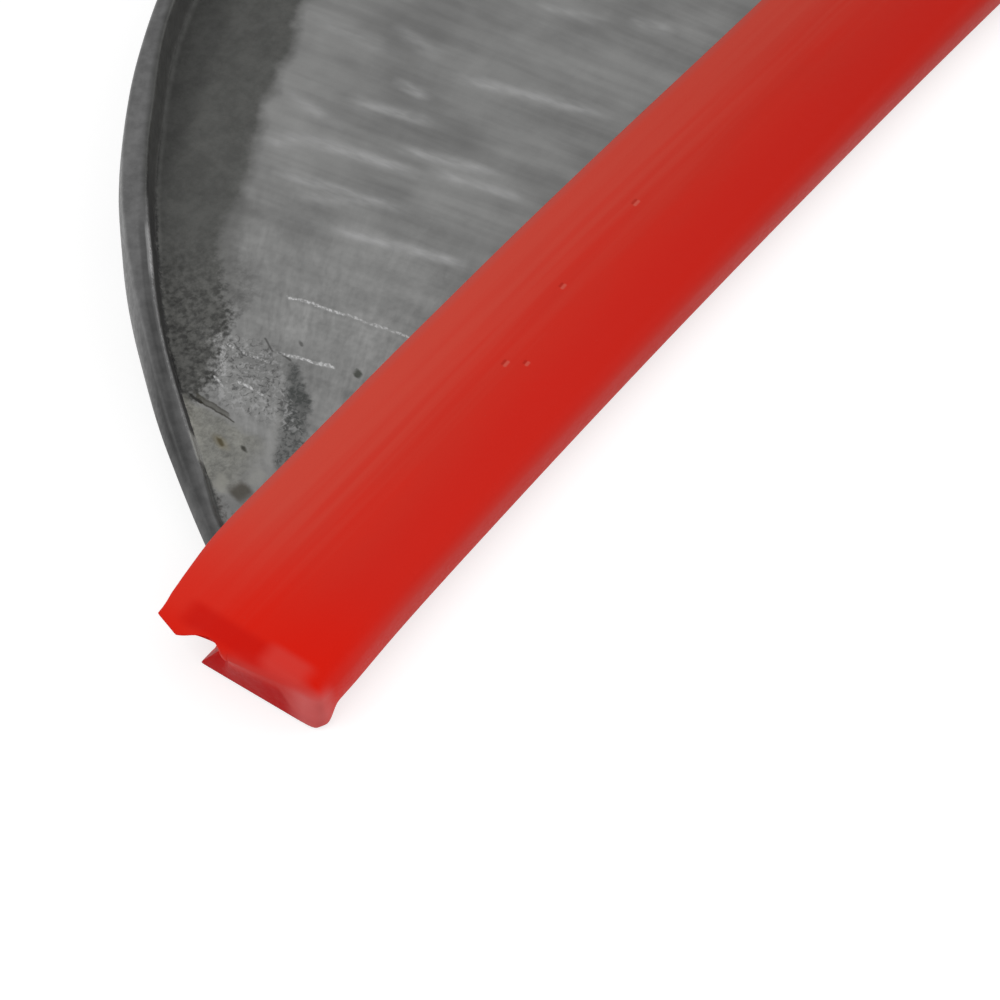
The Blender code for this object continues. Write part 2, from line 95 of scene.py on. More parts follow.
def along(chain, distance):
    """Point and heading at a distance along a chain of (radius, length) arcs."""
    start, heading, arcs = chain
    point = start.copy()
    for radius, length in arcs:
        step = min(distance, length)
        turn = step / radius
        point.x += radius * (math.sin(heading + turn) - math.sin(heading))
        point.y += radius * (math.cos(heading) - math.cos(heading + turn))
        heading += turn
        distance -= step
        if distance <= 0:
            break
    return point, heading


# Both chains start at the apex of the round nose.
at_edge = EDGE_HEADING + 1.5 * math.pi
at_back = BACK_HEADING + 0.5 * math.pi
at_apex = (at_edge + at_back) / 2
apex = NOSE_RADIUS * direction(EDGE_HEADING + math.pi / 2) + NOSE_RADIUS * direction(at_apex)
nose_arc = NOSE_RADIUS * (at_edge - at_back) / 2
EDGE = (apex, at_apex + math.pi / 2, [(NOSE_RADIUS, nose_arc)] + EDGE_ARCS)
BACK = (apex, at_apex - math.pi / 2, [(-NOSE_RADIUS, nose_arc)] + BACK_ARCS)
EDGE_LENGTH, BACK_LENGTH = (sum(length for _, length in chain[2]) for chain in (EDGE, BACK))
print("cutting edge %.1f mm, back %.1f mm" % (EDGE_LENGTH, BACK_LENGTH))

# %% [markdown]
# The frame's origin is the middle of the sickle's footprint, and the arcs start near the nose. The
# handle is symmetric about the line x = 158 in plan, and the farthest section of the back is the top
# of the blade's box, so those two give the place of the plan's own origin in the frame.

# %% Where the plan lies in the frame
HANDLE_X = 158
CAD_SECTIONS = 65
cad_shares = [(0.05 + 0.95 * k / (CAD_SECTIONS - 1)) ** 1.6 for k in range(CAD_SECTIONS)]
farthest_y = max(along(BACK, share * BACK_LENGTH)[0].y for share in cad_shares)
handle_low, handle_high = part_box("handle")
_, blade_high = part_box("blade")
ORIGIN = Vector(((handle_low.x + handle_high.x) / 2 - MM * HANDLE_X, blade_high.y - MM * farthest_y, 0))


def place(point):
    """A point in plan millimetres as a point of the frame in metres."""
    return ORIGIN + MM * Vector(point)


print("plan origin in the frame, mm:", [round(v / MM, 3) for v in ORIGIN])

# %% [markdown]
# ## Camera
# The photograph looks down at the guard's end from the lower left, at about 52 degrees above the
# bench, through a long lens. The camera is set by what it looks at, its heading, height and distance.

# %% Camera at the photograph's viewing angle
LOOK_AT = (12.568, -2.552, 3.9)
CAMERA_HEADING = math.radians(32.248)
CAMERA_ELEVATION = math.radians(52.5)
CAMERA_DISTANCE = 0.1747

look = math.cos(CAMERA_ELEVATION) * direction(CAMERA_HEADING) - Vector((0, 0, math.sin(CAMERA_ELEVATION)))
camera = bpy.data.objects.new("photo_camera", bpy.data.cameras.new("photo_camera"))
bpy.context.scene.collection.objects.link(camera)
camera.data.lens = 100
camera.data.sensor_width = 36
camera.data.clip_start = 0.01
camera.location = place(LOOK_AT) - CAMERA_DISTANCE * look
camera.rotation_euler = look.to_track_quat("-Z", "Y").to_euler()
bpy.context.scene.camera = camera
print("camera at", [round(v, 4) for v in camera.location])

# %% [markdown]
# ## Helpers for wiring nodes
# Materials and Geometry Nodes are both trees of nodes. `use` chooses the tree, `node` adds a node and
# fills its sockets, and a `Field` is a node's output that can be added and multiplied like a number:
# each sign adds a Math node. That keeps the finishes below as short as the sums they stand for.

# %% Fields
def use(tree):
    """Choose the tree that the helpers below add their nodes to."""
    global TREE
    TREE = tree


class Field:
    """A node's output that adds, subtracts and multiplies like a number."""

    def __init__(self, socket):
        self.socket = socket

    def __add__(self, other):
        return maths("ADD", self, other)

    def __sub__(self, other):
        return maths("SUBTRACT", self, other)

    def __rsub__(self, other):
        return maths("SUBTRACT", other, self)

    def __mul__(self, other):
        return maths("MULTIPLY", self, other)


def node(kind, inputs=None, **options):
    """Add a node with its options, and fill its inputs with values or with fields."""
    made = TREE.nodes.new(kind)
    for name, value in options.items():
        setattr(made, name, value)
    for key, value in (inputs or {}).items():
        if isinstance(value, Field):
            TREE.links.new(value.socket, made.inputs[key])
        else:
            made.inputs[key].default_value = value
    return made


def field(kind, inputs=None, output=0, **options):
    """Add a node and return one of its outputs as a field."""
    return Field(node(kind, inputs, **options).outputs[output])


def maths(operation, a, b=0.0):
    """A Math node's result."""
    return field("ShaderNodeMath", {0: a, 1: b}, operation=operation)


def vector_maths(operation, a, b, output=0):
    """A Vector Math node's result."""
    return field("ShaderNodeVectorMath", {0: a, 1: b}, output, operation=operation)


def scaled(vector, by):
    """A vector times a number."""
    return field("ShaderNodeVectorMath", {0: vector, "Scale": by}, operation="SCALE")


# %% Ranges, mixes and noise
def fade(value, low, high, to_low=0.0, to_high=1.0):
    """Ease from one result to another as value goes from low to high."""
    ends = {"Value": value, "From Min": low, "From Max": high, "To Min": to_low, "To Max": to_high}
    return field("ShaderNodeMapRange", ends, interpolation_type="SMOOTHSTEP")


def sway(noise, most):
    """Turn a noise into a swing between -most and most."""
    return fade(noise, 0.3, 0.7, -most, most)


def between(value, low, high, soft):
    """1 where value lies between low and high, fading to 0 over a soft width outside them."""
    return fade(value, low - soft, low) * fade(value, high, high + soft, 1.0, 0.0)


def blend(share, a, b, mode="MIX"):
    """Mix two colours."""
    return field("ShaderNodeMix", {0: share, 6: a, 7: b}, 2, data_type="RGBA", blend_type=mode)


def toward(share, value):
    """A factor that goes from 1 to a value as share goes from 0 to 1."""
    return field("ShaderNodeMix", {0: share, 2: 1.0, 3: value}, data_type="FLOAT")


def grain(vector, scale, detail=2.0, roughness=0.5, distortion=0.0):
    """A noise texture's value, about 0.5 on average."""
    sizes = {"Vector": vector, "Scale": scale, "Detail": detail, "Roughness": roughness}
    return field("ShaderNodeTexNoise", {**sizes, "Distortion": distortion})


def streaks(vector, x, y, z, detail=2.0, roughness=0.5, distortion=0.0):
    """Noise on a vector scaled by a factor for each axis, which turns a round pattern into streaks."""
    return grain(vector_maths("MULTIPLY", vector, (x, y, z)), 1.0, detail, roughness, distortion)


def split(vector):
    """The three parts of a vector."""
    return [Field(part) for part in node("ShaderNodeSeparateXYZ", {0: vector}).outputs]


def joined(x, y, z=0.0):
    """A vector from its parts."""
    return field("ShaderNodeCombineXYZ", {0: x, 1: y, 2: z})


def stroke(at, start, end, width, soft, end_width=None):
    """1 along a straight stroke between two places, with a soft edge. It may widen on its way."""
    start, end = Vector((*start, 0)), Vector((*end, 0))
    span = end - start
    from_start = vector_maths("SUBTRACT", at, start)
    reached = vector_maths("DOT_PRODUCT", from_start, span / span.length_squared, "Value")
    share = field("ShaderNodeClamp", {0: reached})
    off = vector_maths("DISTANCE", from_start, scaled(span, share), "Value")
    if end_width is not None:
        off = off + share * ((width - end_width) / 2)
    return fade(off, width / 2, width / 2 + soft, 1.0, 0.0)


# %% Colours and materials
def grey(value):
    """A grey colour."""
    return (value, value, value, 1)


def grey_field(value):
    """A grey colour from a field."""
    return field("ShaderNodeCombineColor", {0: value, 1: value, 2: value})


def attribute(name, output="Fac"):
    """A named attribute of the piece's own mesh, in a material."""
    return field("ShaderNodeAttribute", None, output, attribute_name=name)


def new_material(name):
    """An empty Principled material, whose tree is then in use: the material and its shader."""
    made = bpy.data.materials.new(name)
    made.use_nodes = True
    use(made.node_tree)
    return made, made.node_tree.nodes["Principled BSDF"]


def dress(shader, colour, rough, height, depth, strength):
    """Link a shader's colour, its roughness and a relief of a depth in metres."""
    relief = field("ShaderNodeBump", {"Height": height, "Distance": depth, "Strength": strength})
    for key, value in (("Base Color", colour), ("Roughness", rough), ("Normal", relief)):
        TREE.links.new(value.socket, shader.inputs[key])


# %% Mesh and Geometry Nodes helpers
def new_object(name, mesh, material=None):
    """Link an object that sits at the origin, with its place in its mesh."""
    obj = bpy.data.objects.new(name, mesh)
    bpy.context.scene.collection.objects.link(obj)
    if material:
        mesh.materials.append(material)
    return obj


def set_attribute(mesh, name, values, kind="FLOAT"):
    """Write one value for each point of a mesh as a named attribute."""
    made = mesh.attributes.new(name, kind, "POINT")
    if kind == "FLOAT_VECTOR":
        made.data.foreach_set("vector", [part for value in values for part in value])
    else:
        made.data.foreach_set("value", values)


def new_geometry_tree(name, sizes):
    """A tree in use with named number inputs: the tree, its geometry, its sizes and their identifiers."""
    tree = bpy.data.node_groups.new(name, "GeometryNodeTree")
    tree.interface.new_socket("Geometry", in_out="INPUT", socket_type="NodeSocketGeometry")
    tree.interface.new_socket("Geometry", in_out="OUTPUT", socket_type="NodeSocketGeometry")
    identifiers = {}
    for label in sizes:
        socket = tree.interface.new_socket(label, in_out="INPUT", socket_type="NodeSocketFloat")
        identifiers[label] = socket.identifier
    use(tree)
    outputs = node("NodeGroupInput").outputs
    return tree, Field(outputs["Geometry"]), {label: Field(outputs[label]) for label in sizes}, identifiers


def close_tree(geometry, material):
    """End the tree in use in Realize Instances and Set Material."""
    real = field("GeometryNodeRealizeInstances", {"Geometry": geometry})
    finished = field("GeometryNodeSetMaterial", {"Geometry": real, "Material": material})
    node("NodeGroupOutput", {0: finished})


def run_tree(obj, tree, identifiers, sizes):
    """Put a tree on an object with its sizes, set by each socket's identifier."""
    modifier = obj.modifiers.new(tree.name, "NODES")
    modifier.node_group = tree
    for label, value in sizes.items():
        modifier[identifiers[label]] = value


def freeze(obj, name):
    """Turn an object with its modifiers into a plain mesh object, and remove the original."""
    bpy.context.view_layer.update()
    graph = bpy.context.evaluated_depsgraph_get()
    result = obj.evaluated_get(graph)
    mesh = bpy.data.meshes.new_from_object(result, preserve_all_data_layers=True, depsgraph=graph)
    bpy.data.objects.remove(obj)
    mesh.name = name
    mesh.calc_loop_triangles()
    print(name, "triangles:", len(mesh.loop_triangles))
    return new_object(name, mesh)


def face_outwards(mesh):
    """Turn a closed mesh's faces outwards if its signed volume says that they point inwards."""
    mesh.calc_loop_triangles()
    volume = 0
    for triangle in mesh.loop_triangles:
        a, b, c = (mesh.vertices[k].co for k in triangle.vertices)
        volume += a.dot(b.cross(c)) / 6 / MM**3
    if volume < 0:
        mesh.flip_normals()
    print(mesh.name, "volume %.0f mm3" % abs(volume))


# %% [markdown]
# ## The forging: sections from nose to heel
# Blade, rib, neck and tang are one piece of steel. The smith leaves a rib standing along the back for
# stiffness and thins the web towards the edge. It could be extruded and sculpted, but a loft keeps it
# exact: at each share of the way from nose to heel a section of 13 corners is set square across the
# blade, as in the CAD model. Here every corner is eased by a short curve, and the flats get many more
# points, so that marks can be pressed into real geometry.

# %% Sizes of the section
GUARD_WALL = 0.95
GAP = 0.3
UNDERSIDE = GUARD_WALL + GAP
EDGE_THICKNESS = 0.4
EDGE_LIFT = 0.1
BEVEL_WIDTH = 7
BEVEL_SHARE = 0.36
BEVEL_THICKNESS = 1.0
WEB_THICKNESS = 1.6
WEB_THICKNESS_AT_NOSE = 1.1
RIB_TOP_OUTER = 0.5
RIB_WIDTH = 2.4
RIB_SHARE = 0.34
RIB_FILLET = 0.18
RIB_FOOT = 0.38
RIB_HEIGHT_AT_NOSE = 0.2
RIB_HEIGHT = 2.6
RIB_EXTRA_AT_HEEL = 2.2
BACK_CHAMFER = 0.5
FILLET_RISE = 0.12
# The rib's outer side turns at this distance in, and at this share of the rib's height.
SIDE_TURN_IN = 0.1
SIDE_TURN_UP = 0.6
# The hammered back runs flatter than its arcs for a while, and then just inside the CAD's facets.
FLATTER_BY = 0.45
INSIDE_BY = 0.04
# Where along the back each change begins, and how long it takes.
FLATTER_RISE = (32, 22)
FLATTER_FALL = (85, 50)
INSIDE_RISE = (90, 20)
RIB_RISE = (12, 24)
# How far in from the back the rib's flat top reaches, for each distance along the back. The smith's
# hammer spread it where the rib starts to fall towards the nose.
RIB_TOP_INNER = [(13, 1.3), (16, 1.6), (20, 1.75), (23, 1.8), (28, 1.87), (30, 1.93), (34, 2.2), (38, 2.32)]
RIB_TOP_INNER += [(43, 2.38), (48, 2.40), (53, 2.12), (57, 1.9), (62, 1.76), (80, 1.66)]
# Each corner's ease radius and points, and the points put between it and the next corner.
CORNERS = [(0.25, 2, 0), (0.30, 3, 8), (0, 1, 8), (0, 1, 5), (0, 1, 0), (0.06, 2, 9), (1.20, 3, 14)]
CORNERS += [(0, 1, 14), (0.30, 3, 1), (0.25, 3, 2), (0.42, 5, 2), (0.24, 4, 2), (0.40, 2, 1)]
EDGE_CORNER = 5
FOOT_CORNER = 8
UNDERSIDE_CORNERS = (1, 2, 3)


# %% The section's corners
def blade_section(distance):
    """The section's 13 corners at a distance along the back, and what its attributes are measured from."""
    edge, _ = along(EDGE, distance / BACK_LENGTH * EDGE_LENGTH)
    back, heading = along(BACK, distance)
    inward = direction(heading - math.pi / 2)
    flatter = FLATTER_BY * ramp(distance, *FLATTER_RISE) * (1 - ramp(distance, *FLATTER_FALL))
    back = back + (flatter + INSIDE_BY * ramp(distance, *INSIDE_RISE)) * inward
    across = (edge - back).normalized()
    reach = (edge - back).length
    rib = min(1, RIB_SHARE * reach / RIB_WIDTH)
    rim = rib * table(RIB_TOP_INNER, distance)
    rise = ramp(distance, *RIB_RISE)
    web = WEB_THICKNESS_AT_NOSE + (WEB_THICKNESS - WEB_THICKNESS_AT_NOSE) * rise
    height = web + RIB_HEIGHT_AT_NOSE + RIB_HEIGHT * rise
    height += RIB_EXTRA_AT_HEEL * smooth(distance / BACK_LENGTH)
    foot = back + (rim + rib * RIB_FOOT) * inward
    bevel_start = edge - min(BEVEL_WIDTH, BEVEL_SHARE * reach) * across
    corners = [
        (back, BACK_CHAMFER),
        (back + BACK_CHAMFER * rib * inward, 0),
        ((back + edge) / 2, 0),
        (bevel_start, 0),
        (edge, EDGE_LIFT),
        (edge, EDGE_THICKNESS),
        (bevel_start, BEVEL_THICKNESS),
        ((foot + bevel_start) / 2, (BEVEL_THICKNESS + web) / 2),
        (foot, web),
        (back + (rim + rib * RIB_FILLET) * inward, web + FILLET_RISE * (height - web)),
        (back + rim * inward, height),
        (back + rib * RIB_TOP_OUTER * inward, height),
        (back + rib * SIDE_TURN_IN * inward, SIDE_TURN_UP * height),
    ]
    return [point + Vector((0, 0, UNDERSIDE + z)) for point, z in corners], (back, across, reach, inward, rim)


def eased(corners):
    """A finer ring through a section: each corner turns along a short curve, and flats get points between."""
    count = len(corners)
    curves = []
    for k, (radius, steps, _) in enumerate(CORNERS):
        here = corners[k]
        ends = []
        for beside in (corners[k - 1] - here, corners[(k + 1) % count] - here):
            ends.append(here + min(radius, 0.45 * beside.length) * beside.normalized())
        shares = [j / (steps - 1) for j in range(steps)] if steps > 1 else []
        curve = [(1 - t) ** 2 * ends[0] + 2 * t * (1 - t) * here + t * t * ends[1] for t in shares]
        curves.append(curve or [here])
    ring = []
    for k, (_, _, extra) in enumerate(CORNERS):
        ring += curves[k]
        start, end = curves[k][-1], curves[(k + 1) % count][0]
        ring += [start.lerp(end, j / (extra + 1)) for j in range(1, extra + 1)]
    return ring


# For each point of a ring: 1 on the ground web, 0 on the rib and the back, -1 on the underside.
ZONES = []
for k, (_, steps, extra) in enumerate(CORNERS):
    after = 1 if EDGE_CORNER <= k < FOOT_CORNER else (-1 if k in UNDERSIDE_CORNERS else 0)
    own = {FOOT_CORNER: 1, EDGE_CORNER - 1: -1}.get(k, after)
    ZONES += [own] * steps + [after] * extra
print("points in each section:", len(ZONES))

# %% [markdown]
# ## Marks that belong to a place
# The steel near the tip carries marks that anyone would know it by: the limit of the dark forge scale,
# bright streaks that run straight across the blade, which are painted highlights on the ridges between
# hammer blows, a yellowish patch and a dark smear by the nose. Each is given by its distance along the
# back and in from it, in millimetres. The limit and the soft streaks are stored on the mesh as
# attributes, and the material breaks them up with noise.

# %% Where the scale ends, and the soft streaks of painted highlight
# Distance along the back, and how far in from the back the forge scale reaches there.
SCALE_LIMIT = [(0, 0.5), (20, 1.6), (23.6, 2.9), (26.2, 4.6), (28.5, 5.7), (31.7, 6.9), (34.9, 7.7)]
SCALE_LIMIT += [(40.5, 8.0), (43.0, 8.7), (46.7, 9.6), (51.7, 10.0), (54.6, 10.1), (58.0, 10.8)]
SCALE_LIMIT += [(62.4, 10.5), (66.6, 10.2), (120, 12.5), (250, 15), (340, 14), (406, 12)]
# Soft streaks, painted highlights on the hammer ridges: along and in at the start, along and in at the end,
# width and strength.
RIDGE_GLEAMS = [
    (44.6, 16.7, 45.8, 25.7, 0.50, 0.60),
    (50.7, 10.3, 52.8, 13.3, 0.85, 0.36),
    (52.8, 13.3, 53.4, 21.8, 0.62, 0.52),
    (48.3, 11.9, 49.3, 20.9, 0.50, 0.44),
    (46.9, 13.8, 49.1, 20.1, 0.60, 0.28),
    (56.6, 11.6, 55.4, 15.4, 0.75, 0.34),
    (58.4, 16.5, 59.3, 22.4, 0.60, 0.45),
    (62.2, 19.0, 61.7, 21.3, 0.60, 0.44),
    (55.4, 21.0, 56.5, 27.7, 0.52, 0.48),
    (54.3, 23.8, 54.8, 29.9, 0.52, 0.46),
    (67.4, 17.8, 66.7, 20.6, 0.75, 0.28),
    (65.5, 11.6, 64.9, 17.4, 0.75, 0.20),
    (65.1, 24.0, 67.0, 34.0, 0.60, 0.46),
    (78.5, 32.6, 79.4, 35.6, 0.60, 0.32),
    (76.0, 25.8, 77.2, 30.5, 0.60, 0.28),
]
RIDGE_GLEAMS_REACH = 85
# Each streak fades in and out over this share of its length, on both sides of its ends.
RIDGE_GLEAM_END = 0.15


def ridge_gleam_strength(distance, inset):
    """How strongly the painted ridge highlights cross a place of the blade."""
    most = 0
    for a, low, b, high, width, strength in RIDGE_GLEAMS:
        share = (inset - low) / (high - low)
        off = distance - (a + (b - a) * share)
        if abs(off) > 3 * width or not -0.2 < share < 1.2:
            continue
        ends = ramp(share, -RIDGE_GLEAM_END, 2 * RIDGE_GLEAM_END) * ramp(-share, -1 - RIDGE_GLEAM_END, 2 * RIDGE_GLEAM_END)
        most = max(most, strength * ends * math.exp(-((off / width) ** 2)))
    return most


# %% [markdown]
# The sections are close together where the camera is and wider apart further up, because the marks
# need them only near the tip. Past the heel, the section turns smoothly into a rounded bar that
# follows a Bezier curve up to the ferrule, and then runs straight through the handle to the head that
# is peened over the washer.

# %% Sizes of the neck and the tang
FERRULE_FRONT = Vector((HANDLE_X, -246, 25))
HANDLE_LENGTH = 135
BUTT_RADIUS = 15.8
BUTT_AT = 123
HANDLE_FALL = math.asin((FERRULE_FRONT.z - BUTT_RADIUS - 0.1) / BUTT_AT)
ALONG_HANDLE = Vector((0, -math.cos(HANDLE_FALL), -math.sin(HANDLE_FALL)))
NECK_FROM_BACK = 7
NECK_LIFT_AT_HEEL = 3.4
NECK_LEAVE = 22
NECK_ARRIVE = 26
NECK_SIZE = (10.5, 8, 4)
SHOULDER_LENGTH = 30
NECK_SECTIONS = 90
# Bearing of each of the section's 13 corners round the bar.
BAR_BEARINGS = (200, 235, 270, 315, 350, 370, 405, 430, 455, 470, 485, 510, 535, 560)
# Steps along the back: (up to this distance, step).
STEPS = [(13, 0.4), (82, 0.2), (110, 0.8), (BACK_LENGTH, 1.7)]
# Sections of the tang: distance past the ferrule's front, width, thickness and squareness.
HEAD_AT = HANDLE_LENGTH + 1.8
TANG = [(4, 10.0, 7.6, 4), (9, 8.6, 6.8, 4), (40, 7.8, 6.3, 4), (70, 7.0, 5.8, 4)]
TANG += [(HANDLE_LENGTH - 12, 5.2, 5.2, 2), (HEAD_AT, 5.2, 5.2, 2)]
HEAD = [(0.12, 8.1), (0.3, 8.7), (0.6, 8.6), (0.9, 8.1), (1.2, 7.3), (1.45, 6.2), (1.62, 4.8)]
HEAD += [(1.73, 3.0), (1.78, 1.0)]
TANG += [(HEAD_AT + past, width, width, 2) for past, width in HEAD]


# %% Sections of the neck and the tang
def bar_section(width, thickness, squareness):
    """The ring of a bar with rounded corners. A squareness of 2 is an ellipse, more is squarer."""
    section = []
    for k, (_, steps, extra) in enumerate(CORNERS):
        here, following = BAR_BEARINGS[k : k + 2]
        for j in range(steps + extra):
            angle = math.radians(here + (following - here) * j / (steps + extra))
            c, s = math.cos(angle), math.sin(angle)
            a = math.copysign(abs(c) ** (2 / squareness), c) * width / 2
            b = math.copysign(abs(s) ** (2 / squareness), s) * thickness / 2
            section.append((a, b))
    return section


def neck_point(share):
    """Centre line of the cranked neck and its direction, as a Bezier curve from heel to ferrule."""
    back, heading = along(BACK, BACK_LENGTH)
    start = back + NECK_FROM_BACK * direction(heading - math.pi / 2)
    start.z = UNDERSIDE + NECK_LIFT_AT_HEEL
    leave = start + NECK_LEAVE * direction(heading)
    arrive = FERRULE_FRONT - NECK_ARRIVE * ALONG_HANDLE
    t, r = share, 1 - share
    point = r**3 * start + 3 * r * r * t * leave + 3 * r * t * t * arrive + t**3 * FERRULE_FRONT
    slope = r * r * (leave - start) + 2 * r * t * (arrive - leave) + t * t * (FERRULE_FRONT - arrive)
    return point, slope.normalized()


def square_to(forward):
    """The across and up directions square to a direction of the forging."""
    across = forward.cross(Vector((0, 0, 1))).normalized()
    return across, across.cross(forward)


def framed_ring(centre, forward, section):
    """Put a section's (across, up) points square to the forging's direction."""
    across, up = square_to(forward)
    return [centre + a * across + b * up for a, b in section]


def neck_rings():
    """Sections from the heel of the blade, round the crank, to the front of the ferrule."""
    centre, forward = neck_point(0)
    across, up = square_to(forward)
    heel = [(p - centre) for p in eased(blade_section(BACK_LENGTH)[0])]
    neck_length = (neck_point(1)[0] - centre).length
    rings = []
    for step in range(1, NECK_SECTIONS + 1):
        share = step / NECK_SECTIONS
        turn = smooth(share * neck_length / SHOULDER_LENGTH)
        section = [
            (p.dot(across) * (1 - turn) + a * turn, p.dot(up) * (1 - turn) + b * turn)
            for p, (a, b) in zip(heel, bar_section(*NECK_SIZE))
        ]
        centre_here, forward_here = neck_point(share)
        ring = framed_ring(centre_here, forward_here, section)
        rings.append([q + p.dot(forward) * (1 - turn) * forward_here for q, p in zip(ring, heel)])
    return rings


def tang_rings():
    """Sections of the tang through the handle, ending in the head peened over the washer."""
    rings = []
    for at, *size in TANG:
        rings.append(framed_ring(FERRULE_FRONT + at * ALONG_HANDLE, ALONG_HANDLE, bar_section(*size)))
    return rings


# %% [markdown]
# Each point of the forging remembers where it lies on the steel: its distance along the back, how far
# in it is, and its share of the way across. The marks and the material read those attributes, so the
# grinding lines bend with the blade as they do when a smith follows it on the wheel.

# %% Skin the forging and store its attributes
# The hammered surface begins before the heel, and the marks of the blade end over some sections.
HAMMERED_BEFORE_HEEL = 8
HAMMERED_RISE = 16
TURNING_SECTIONS = 12
PAST_SCALE_ON_NECK = -6
FORGED_SHARP_ANGLE = math.radians(40)


def stations():
    """Distances along the back at which a section is set."""
    found = [0.04]
    for stop, step in STEPS:
        count = max(1, round((stop - found[-1]) / step))
        start = found[-1]
        found += [start + (stop - start) * k / count for k in range(1, count + 1)]
    return found


def make_forging():
    """The forging as one closed mesh with its attributes."""
    rings, lay = [], []
    masks = {name: [] for name in ("zone", "past_scale", "past_rib", "forged", "ridge_gleam")}

    def remember(*values):
        for mask, value in zip(masks.values(), values):
            mask.append(value)

    for distance in stations():
        corners, (back, across, reach, inward, rim) = blade_section(distance)
        rings.append(eased(corners))
        limit = table(SCALE_LIMIT, distance)
        forged = ramp(distance, BACK_LENGTH - HAMMERED_BEFORE_HEEL, HAMMERED_RISE) / 2
        for point, mark in zip(rings[-1], ZONES):
            from_back = (point - back).xy
            inset = from_back.dot(across.xy)
            lay.append((distance, inset, inset / reach))
            ridge_gleam = ridge_gleam_strength(distance, inset) if mark == 1 and distance < RIDGE_GLEAMS_REACH else 0
            remember(mark, inset - limit, from_back.dot(inward.xy) - rim, forged, ridge_gleam)
    size = len(ZONES)
    heel = lay[-size:]
    heel_past_rib = masks["past_rib"][-size:]
    travelled = BACK_LENGTH
    for number, ring in enumerate(neck_rings() + tang_rings()):
        travelled += (sum(ring, Vector()) - sum(rings[-1], Vector())).length / size
        rings.append(ring)
        turn = smooth((number + 1) / TURNING_SECTIONS)
        for (_, inset, share), mark, past_rib in zip(heel, ZONES, heel_past_rib):
            lay.append((travelled, inset, share))
            past_scale = PAST_SCALE_ON_NECK * turn + (inset - SCALE_LIMIT[-1][1]) * (1 - turn)
            remember(mark * (1 - turn), past_scale, past_rib, 0.5 + turn / 2, 0)
    faces = []
    for start in range(0, (len(rings) - 1) * size, size):
        for k in range(size):
            j = (k + 1) % size
            faces.append((start + k, start + size + k, start + size + j, start + j))
    faces.append(tuple(range(size)))
    faces.append(tuple(range((len(rings) - 1) * size, len(rings) * size))[::-1])
    mesh = bpy.data.meshes.new("forging")
    mesh.from_pydata([place(p) for ring in rings for p in ring], [], faces)
    set_attribute(mesh, "lay", lay, "FLOAT_VECTOR")
    for name, values in masks.items():
        set_attribute(mesh, name, values)
    mesh.shade_smooth()
    mesh.set_sharp_from_angle(angle=FORGED_SHARP_ANGLE)
    print("sections:", len(rings), "points:", len(mesh.vertices))
    return mesh


forging_mesh = make_forging()
face_outwards(forging_mesh)

# %% [markdown]
# ## The forging's finish
# Three finishes meet on the steel. The web was ground on a wheel along its length: mid grey, with
# fine lines. Next to the rib the dark forge scale is left, mottled and pitted. The rib was only
# dressed, so it lies between the two. One material holds all three and blends them by the attributes,
# which keeps the ragged border between ground steel and scale.

# %% Crisp marks near the tip
# Bright ones are bare steel, broken into dashes: start and end as (along, in), width, how broken, strength.
BRIGHT_STROKES = [
    ((36.2, 12.0), (36.5, 15.9), 0.12, 0.80, 1.00),
    ((36.5, 15.9), (36.4, 20.9), 0.09, 0.80, 0.75),
    ((30.5, 10.4), (30.9, 14.4), 0.14, 0.75, 1.00),
    ((29.6, 6.5), (29.3, 7.7), 0.13, 0.97, 0.85),
    ((29.3, 8.1), (29.2, 9.3), 0.10, 0.97, 0.75),
    ((26.3, 6.6), (26.1, 7.5), 0.13, 0.95, 1.00),
    ((26.0, 7.8), (25.9, 8.3), 0.10, 0.95, 0.80),
    ((25.9, 4.8), (25.4, 5.1), 0.14, 0.90, 0.80),
    ((29.3, 6.1), (26.4, 5.4), 0.30, 0.95, 0.40),
]
# Gouges, pits, rust and pale spots: start, end, width, soft edge, colour, strength.
SPOTS = [
    ((23.45, 3.0), (22.75, 4.7), 0.26, 0.30, (0.105, 0.100, 0.080, 1), 0.60),
    ((23.4, 2.4), (23.1, 3.0), 0.15, 0.16, (0.022, 0.021, 0.018, 1), 0.90),
    ((23.1, 3.0), (22.3, 5.1), 0.06, 0.14, (0.050, 0.046, 0.035, 1), 0.75),
    ((23.8, 2.75), (22.95, 4.9), 0.04, 0.14, (0.060, 0.056, 0.042, 1), 0.50),
    ((31.3, 9.55), (30.5, 9.85), 0.06, 0.13, (0.050, 0.050, 0.048, 1), 0.60),
    ((29.9, 7.0), (29.2, 7.4), 0.06, 0.12, (0.050, 0.050, 0.048, 1), 0.50),
    ((30.5, 10.4), (30.2, 11.1), 0.12, 0.14, (0.055, 0.055, 0.050, 1), 0.60),
    ((30.95, 16.1), (31.3, 16.35), 0.22, 0.24, (0.060, 0.066, 0.052, 1), 0.80),
    ((32.0, 12.3), (32.1, 12.3), 0.10, 0.20, (0.060, 0.060, 0.055, 1), 0.60),
    ((19.9, 3.5), (19.8, 3.5), 0.26, 0.70, (0.290, 0.250, 0.150, 1), 0.50),
    ((19.9, 3.5), (19.8, 3.5), 0.14, 0.30, (0.100, 0.080, 0.040, 1), 0.80),
    ((20.0, 5.2), (20.1, 5.2), 0.14, 0.24, (0.060, 0.058, 0.048, 1), 0.85),
    ((15.3, 3.2), (16.1, 4.1), 0.30, 0.70, (0.095, 0.084, 0.066, 1), 0.80),
    ((15.5, 2.1), (16.4, 2.6), 0.25, 0.50, (0.430, 0.425, 0.385, 1), 0.60),
    ((17.0, 4.9), (18.3, 6.0), 0.20, 0.50, (0.440, 0.440, 0.415, 1), 0.55),
    ((24.3, 8.9), (19.6, 6.8), 0.16, 0.40, (0.420, 0.420, 0.410, 1), 0.50),
]
# Along the rib's foot the line turns pale and then dark again: from, to, colour, strength.
FOOT_MARKS = [(17.6, 19.3, (0.36, 0.36, 0.34, 1), 0.60), (12.0, 15.8, (0.075, 0.077, 0.074, 1), 0.70)]
